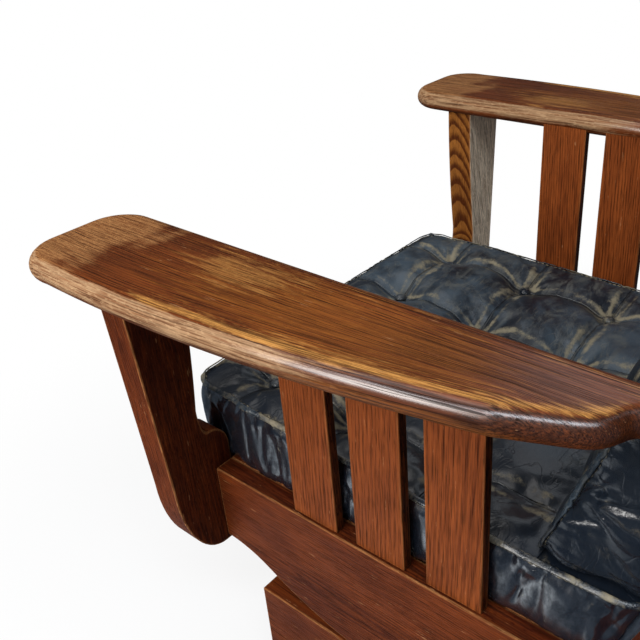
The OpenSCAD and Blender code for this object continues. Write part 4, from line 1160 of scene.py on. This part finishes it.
# The separate solids of a node, as pairs of corners
def solidsOf(node):
    bm = loadPiece(node)
    left, boxes = set(bm.verts), []
    while left:
        queue, found = [left.pop()], []
        while queue:
            v = queue.pop()
            found.append(v.co.copy())
            for w in (e.other_vert(v) for e in v.link_edges):
                if w in left:
                    left.remove(w)
                    queue.append(w)
        points = np.array(found)
        boxes.append((points.min(0), points.max(0)))
    bm.free()
    return sorted(boxes, key=lambda box: tuple(np.round(box[0], 5)))


def metalMaterial(name, light, dark, metal, rough, rust, scale, bump=0.0002):
    rusty = (0.12, 0.045, 0.018)
    made, tree, shader = newMaterial(name)
    spot = objectSpot(tree)
    cloud, grit = noise(spot, scale, 5, 0.65, 0.3), noise(spot, scale * 9, 3, 0.6)
    spots = ramp(noise(spot, scale * 2.2, 5, 0.7), 0.56, 0.7)
    feed(shader, {
        "Base Color": mixed(spots * rust, mixed(ramp(cloud, 0.35, 0.68), dark, light), rusty),
        "Metallic": maths("ADD", spots * (-metal * rust * 2), metal, clamp=True),
        "Roughness": grit * 0.25 + spots * 0.2 + (rough - 0.12),
        "Normal": bumped(cloud * 0.8 + grit * 0.5, bump, 0.6)})
    return made


def threadMaterial(name, colour, dirt):
    made, tree, shader = newMaterial(name)
    spot = objectSpot(tree)
    worn = ramp(noise(spot, 55, 3, 0.6), 0.38, 0.62)
    feed(shader, {"Base Color": mixed(worn, dirt, colour), "Roughness": ramp(worn, 0, 1, 0.6, 0.8),
                  "Normal": bumped(noise(spot, 1500), 0.0002, 0.5), "Specular IOR Level": 0.2})
    return made


# Two rows of stitches along each cushion's upper seam, laid on the leather on both sides of the band
stitching = dict(Spacing=0.0068, Length=0.0048, Thread=0.00048)
stitchAside, stitchLift = 0.0041, 0.0002
threads = dict(seat_cushion=threadMaterial("worn_thread", (0.26, 0.22, 0.145), (0.05, 0.045, 0.035)),
               back_cushion=threadMaterial("dark_thread", (0.10, 0.09, 0.065), (0.012, 0.013, 0.015)))
stitches = stitchTree()
for number, (name, (cushion, ring)) in enumerate(seams.items()):
    hull = BVHTree.FromPolygons([v.co for v in cushion.data.vertices], [f.vertices for f in cushion.data.polygons])
    points, edges = [], []
    for sign in (-1, 1):
        start = len(points)
        for i, spot, out, aside in alongSeam(ring):
            near, normal, _, _ = hull.find_nearest(spot + aside * sign * stitchAside)
            points.append(near + normal * stitchLift)
            edges.append((start + i, start + (i + 1) % len(ring)))
    piece = runTree(name + "_stitches", stitches, points, edges, dict(
        stitching, Seed=5 + number, Finish=threads[name]))
    finishPiece(piece, "chair", "leather", threads[name])

buttonForm = dict(Radius=0.0079, Height=0.0054)
buttonLeather = leatherMaterial("button_leather", dull=(0.06, 0.072, 0.085), dustAndShade=0.7)
buttons = buttonTree()
for node, towards in (("seat_buttons", axisZ), ("back_buttons", -backY)):
    turn = tuple(towards.to_track_quat("Z", "Y").to_euler())
    middles = [Vector((low + high) / 2) - towards * buttonForm["Height"] / 2 for low, high in solidsOf(node)]
    piece = runTree(node + "_domes", buttons, middles, [], dict(buttonForm, Finish=buttonLeather),
                    [turn] * len(middles))
    setLayer(piece.data, "worn", np.full(len(piece.data.vertices), 0.3))
    finishPiece(piece, "chair", "button_leather", buttonLeather, node)

screwForm = dict(Head=0.0045, Shank=0.00225, Slot=0.0011)
screwSteel = metalMaterial("screw_steel", (0.30, 0.29, 0.27), (0.13, 0.12, 0.11), 0.9, 0.42, 0.45, 140)
screws = screwTree()
rng = np.random.default_rng(12)
for node, body in (("cleat_screws", "chair"), ("upper_bracket_screws", "chair"), ("lower_bracket_screws", "base")):
    points, turns = [], []
    boxes = solidsOf(node)
    length = (boxes[0][1] - boxes[0][0])[0] - screwForm["Head"]
    for low, high in boxes:
        sign = 1 if low[0] > 0 else -1
        x = low[0] + screwForm["Head"] if sign > 0 else high[0] - screwForm["Head"]
        points.append((x, *((low + high) / 2)[1:]))
        inward, spun = Matrix.Rotation(-sign * math.pi / 2, 3, "Y"), Matrix.Rotation(rng.uniform(0, math.pi), 3, "Z")
        turns.append(tuple((inward @ spun).to_euler()))
    piece = runTree(node + "_slotted", screws, points, [], dict(screwForm, Length=length, Finish=screwSteel), turns)
    finishPiece(piece, body, "screw_steel", screwSteel, node)

coilForm = {"Turns": 8.0, "Radius": 0.0132, "Wire": 0.0018, "End Pitch": 0.0042}
springSteel = metalMaterial("spring_steel", (0.36, 0.36, 0.37), (0.2, 0.2, 0.2), 0.95, 0.33, 0.3, 90)
coils = coilTree()
for side, sign in (("left", 1), ("right", -1)):
    for end in ("front", "rear"):
        node = f"spring_{side}_{end}"
        low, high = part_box(node)
        axis = (low + high) / 2
        pitch = (high.z - low.z - 2 * coilForm["Wire"] - 2 * coilForm["End Pitch"]) / (coilForm["Turns"] - 2)
        piece = runTree(node + "_coil", coils, [(axis.x, axis.y, low.z)], [], dict(
            coilForm, Pitch=pitch, Start=coilForm["Wire"], Winding=float(sign), Finish=springSteel))
        repaint(piece, springSteel)
        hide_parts(node)
        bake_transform(piece)

step("iron, glides and dowels")
blackIron = metalMaterial("black_iron", (0.055, 0.052, 0.05), (0.022, 0.021, 0.02), 0.55, 0.5, 0.35, 45, 0.0006)
dullNickel = metalMaterial("dull_nickel", (0.5, 0.49, 0.46), (0.34, 0.33, 0.31), 0.95, 0.3, 0.2, 110)
for node in nodes:
    if node.endswith(("bracket_left", "bracket_right")):
        repaint(nodes[node], blackIron)
repaint(nodes["floor_glides"], dullNickel)
for node in ("frame_dowels", "base_dowels"):
    repaint(nodes[node], oaks["dowel_oak"])


step("sizes")
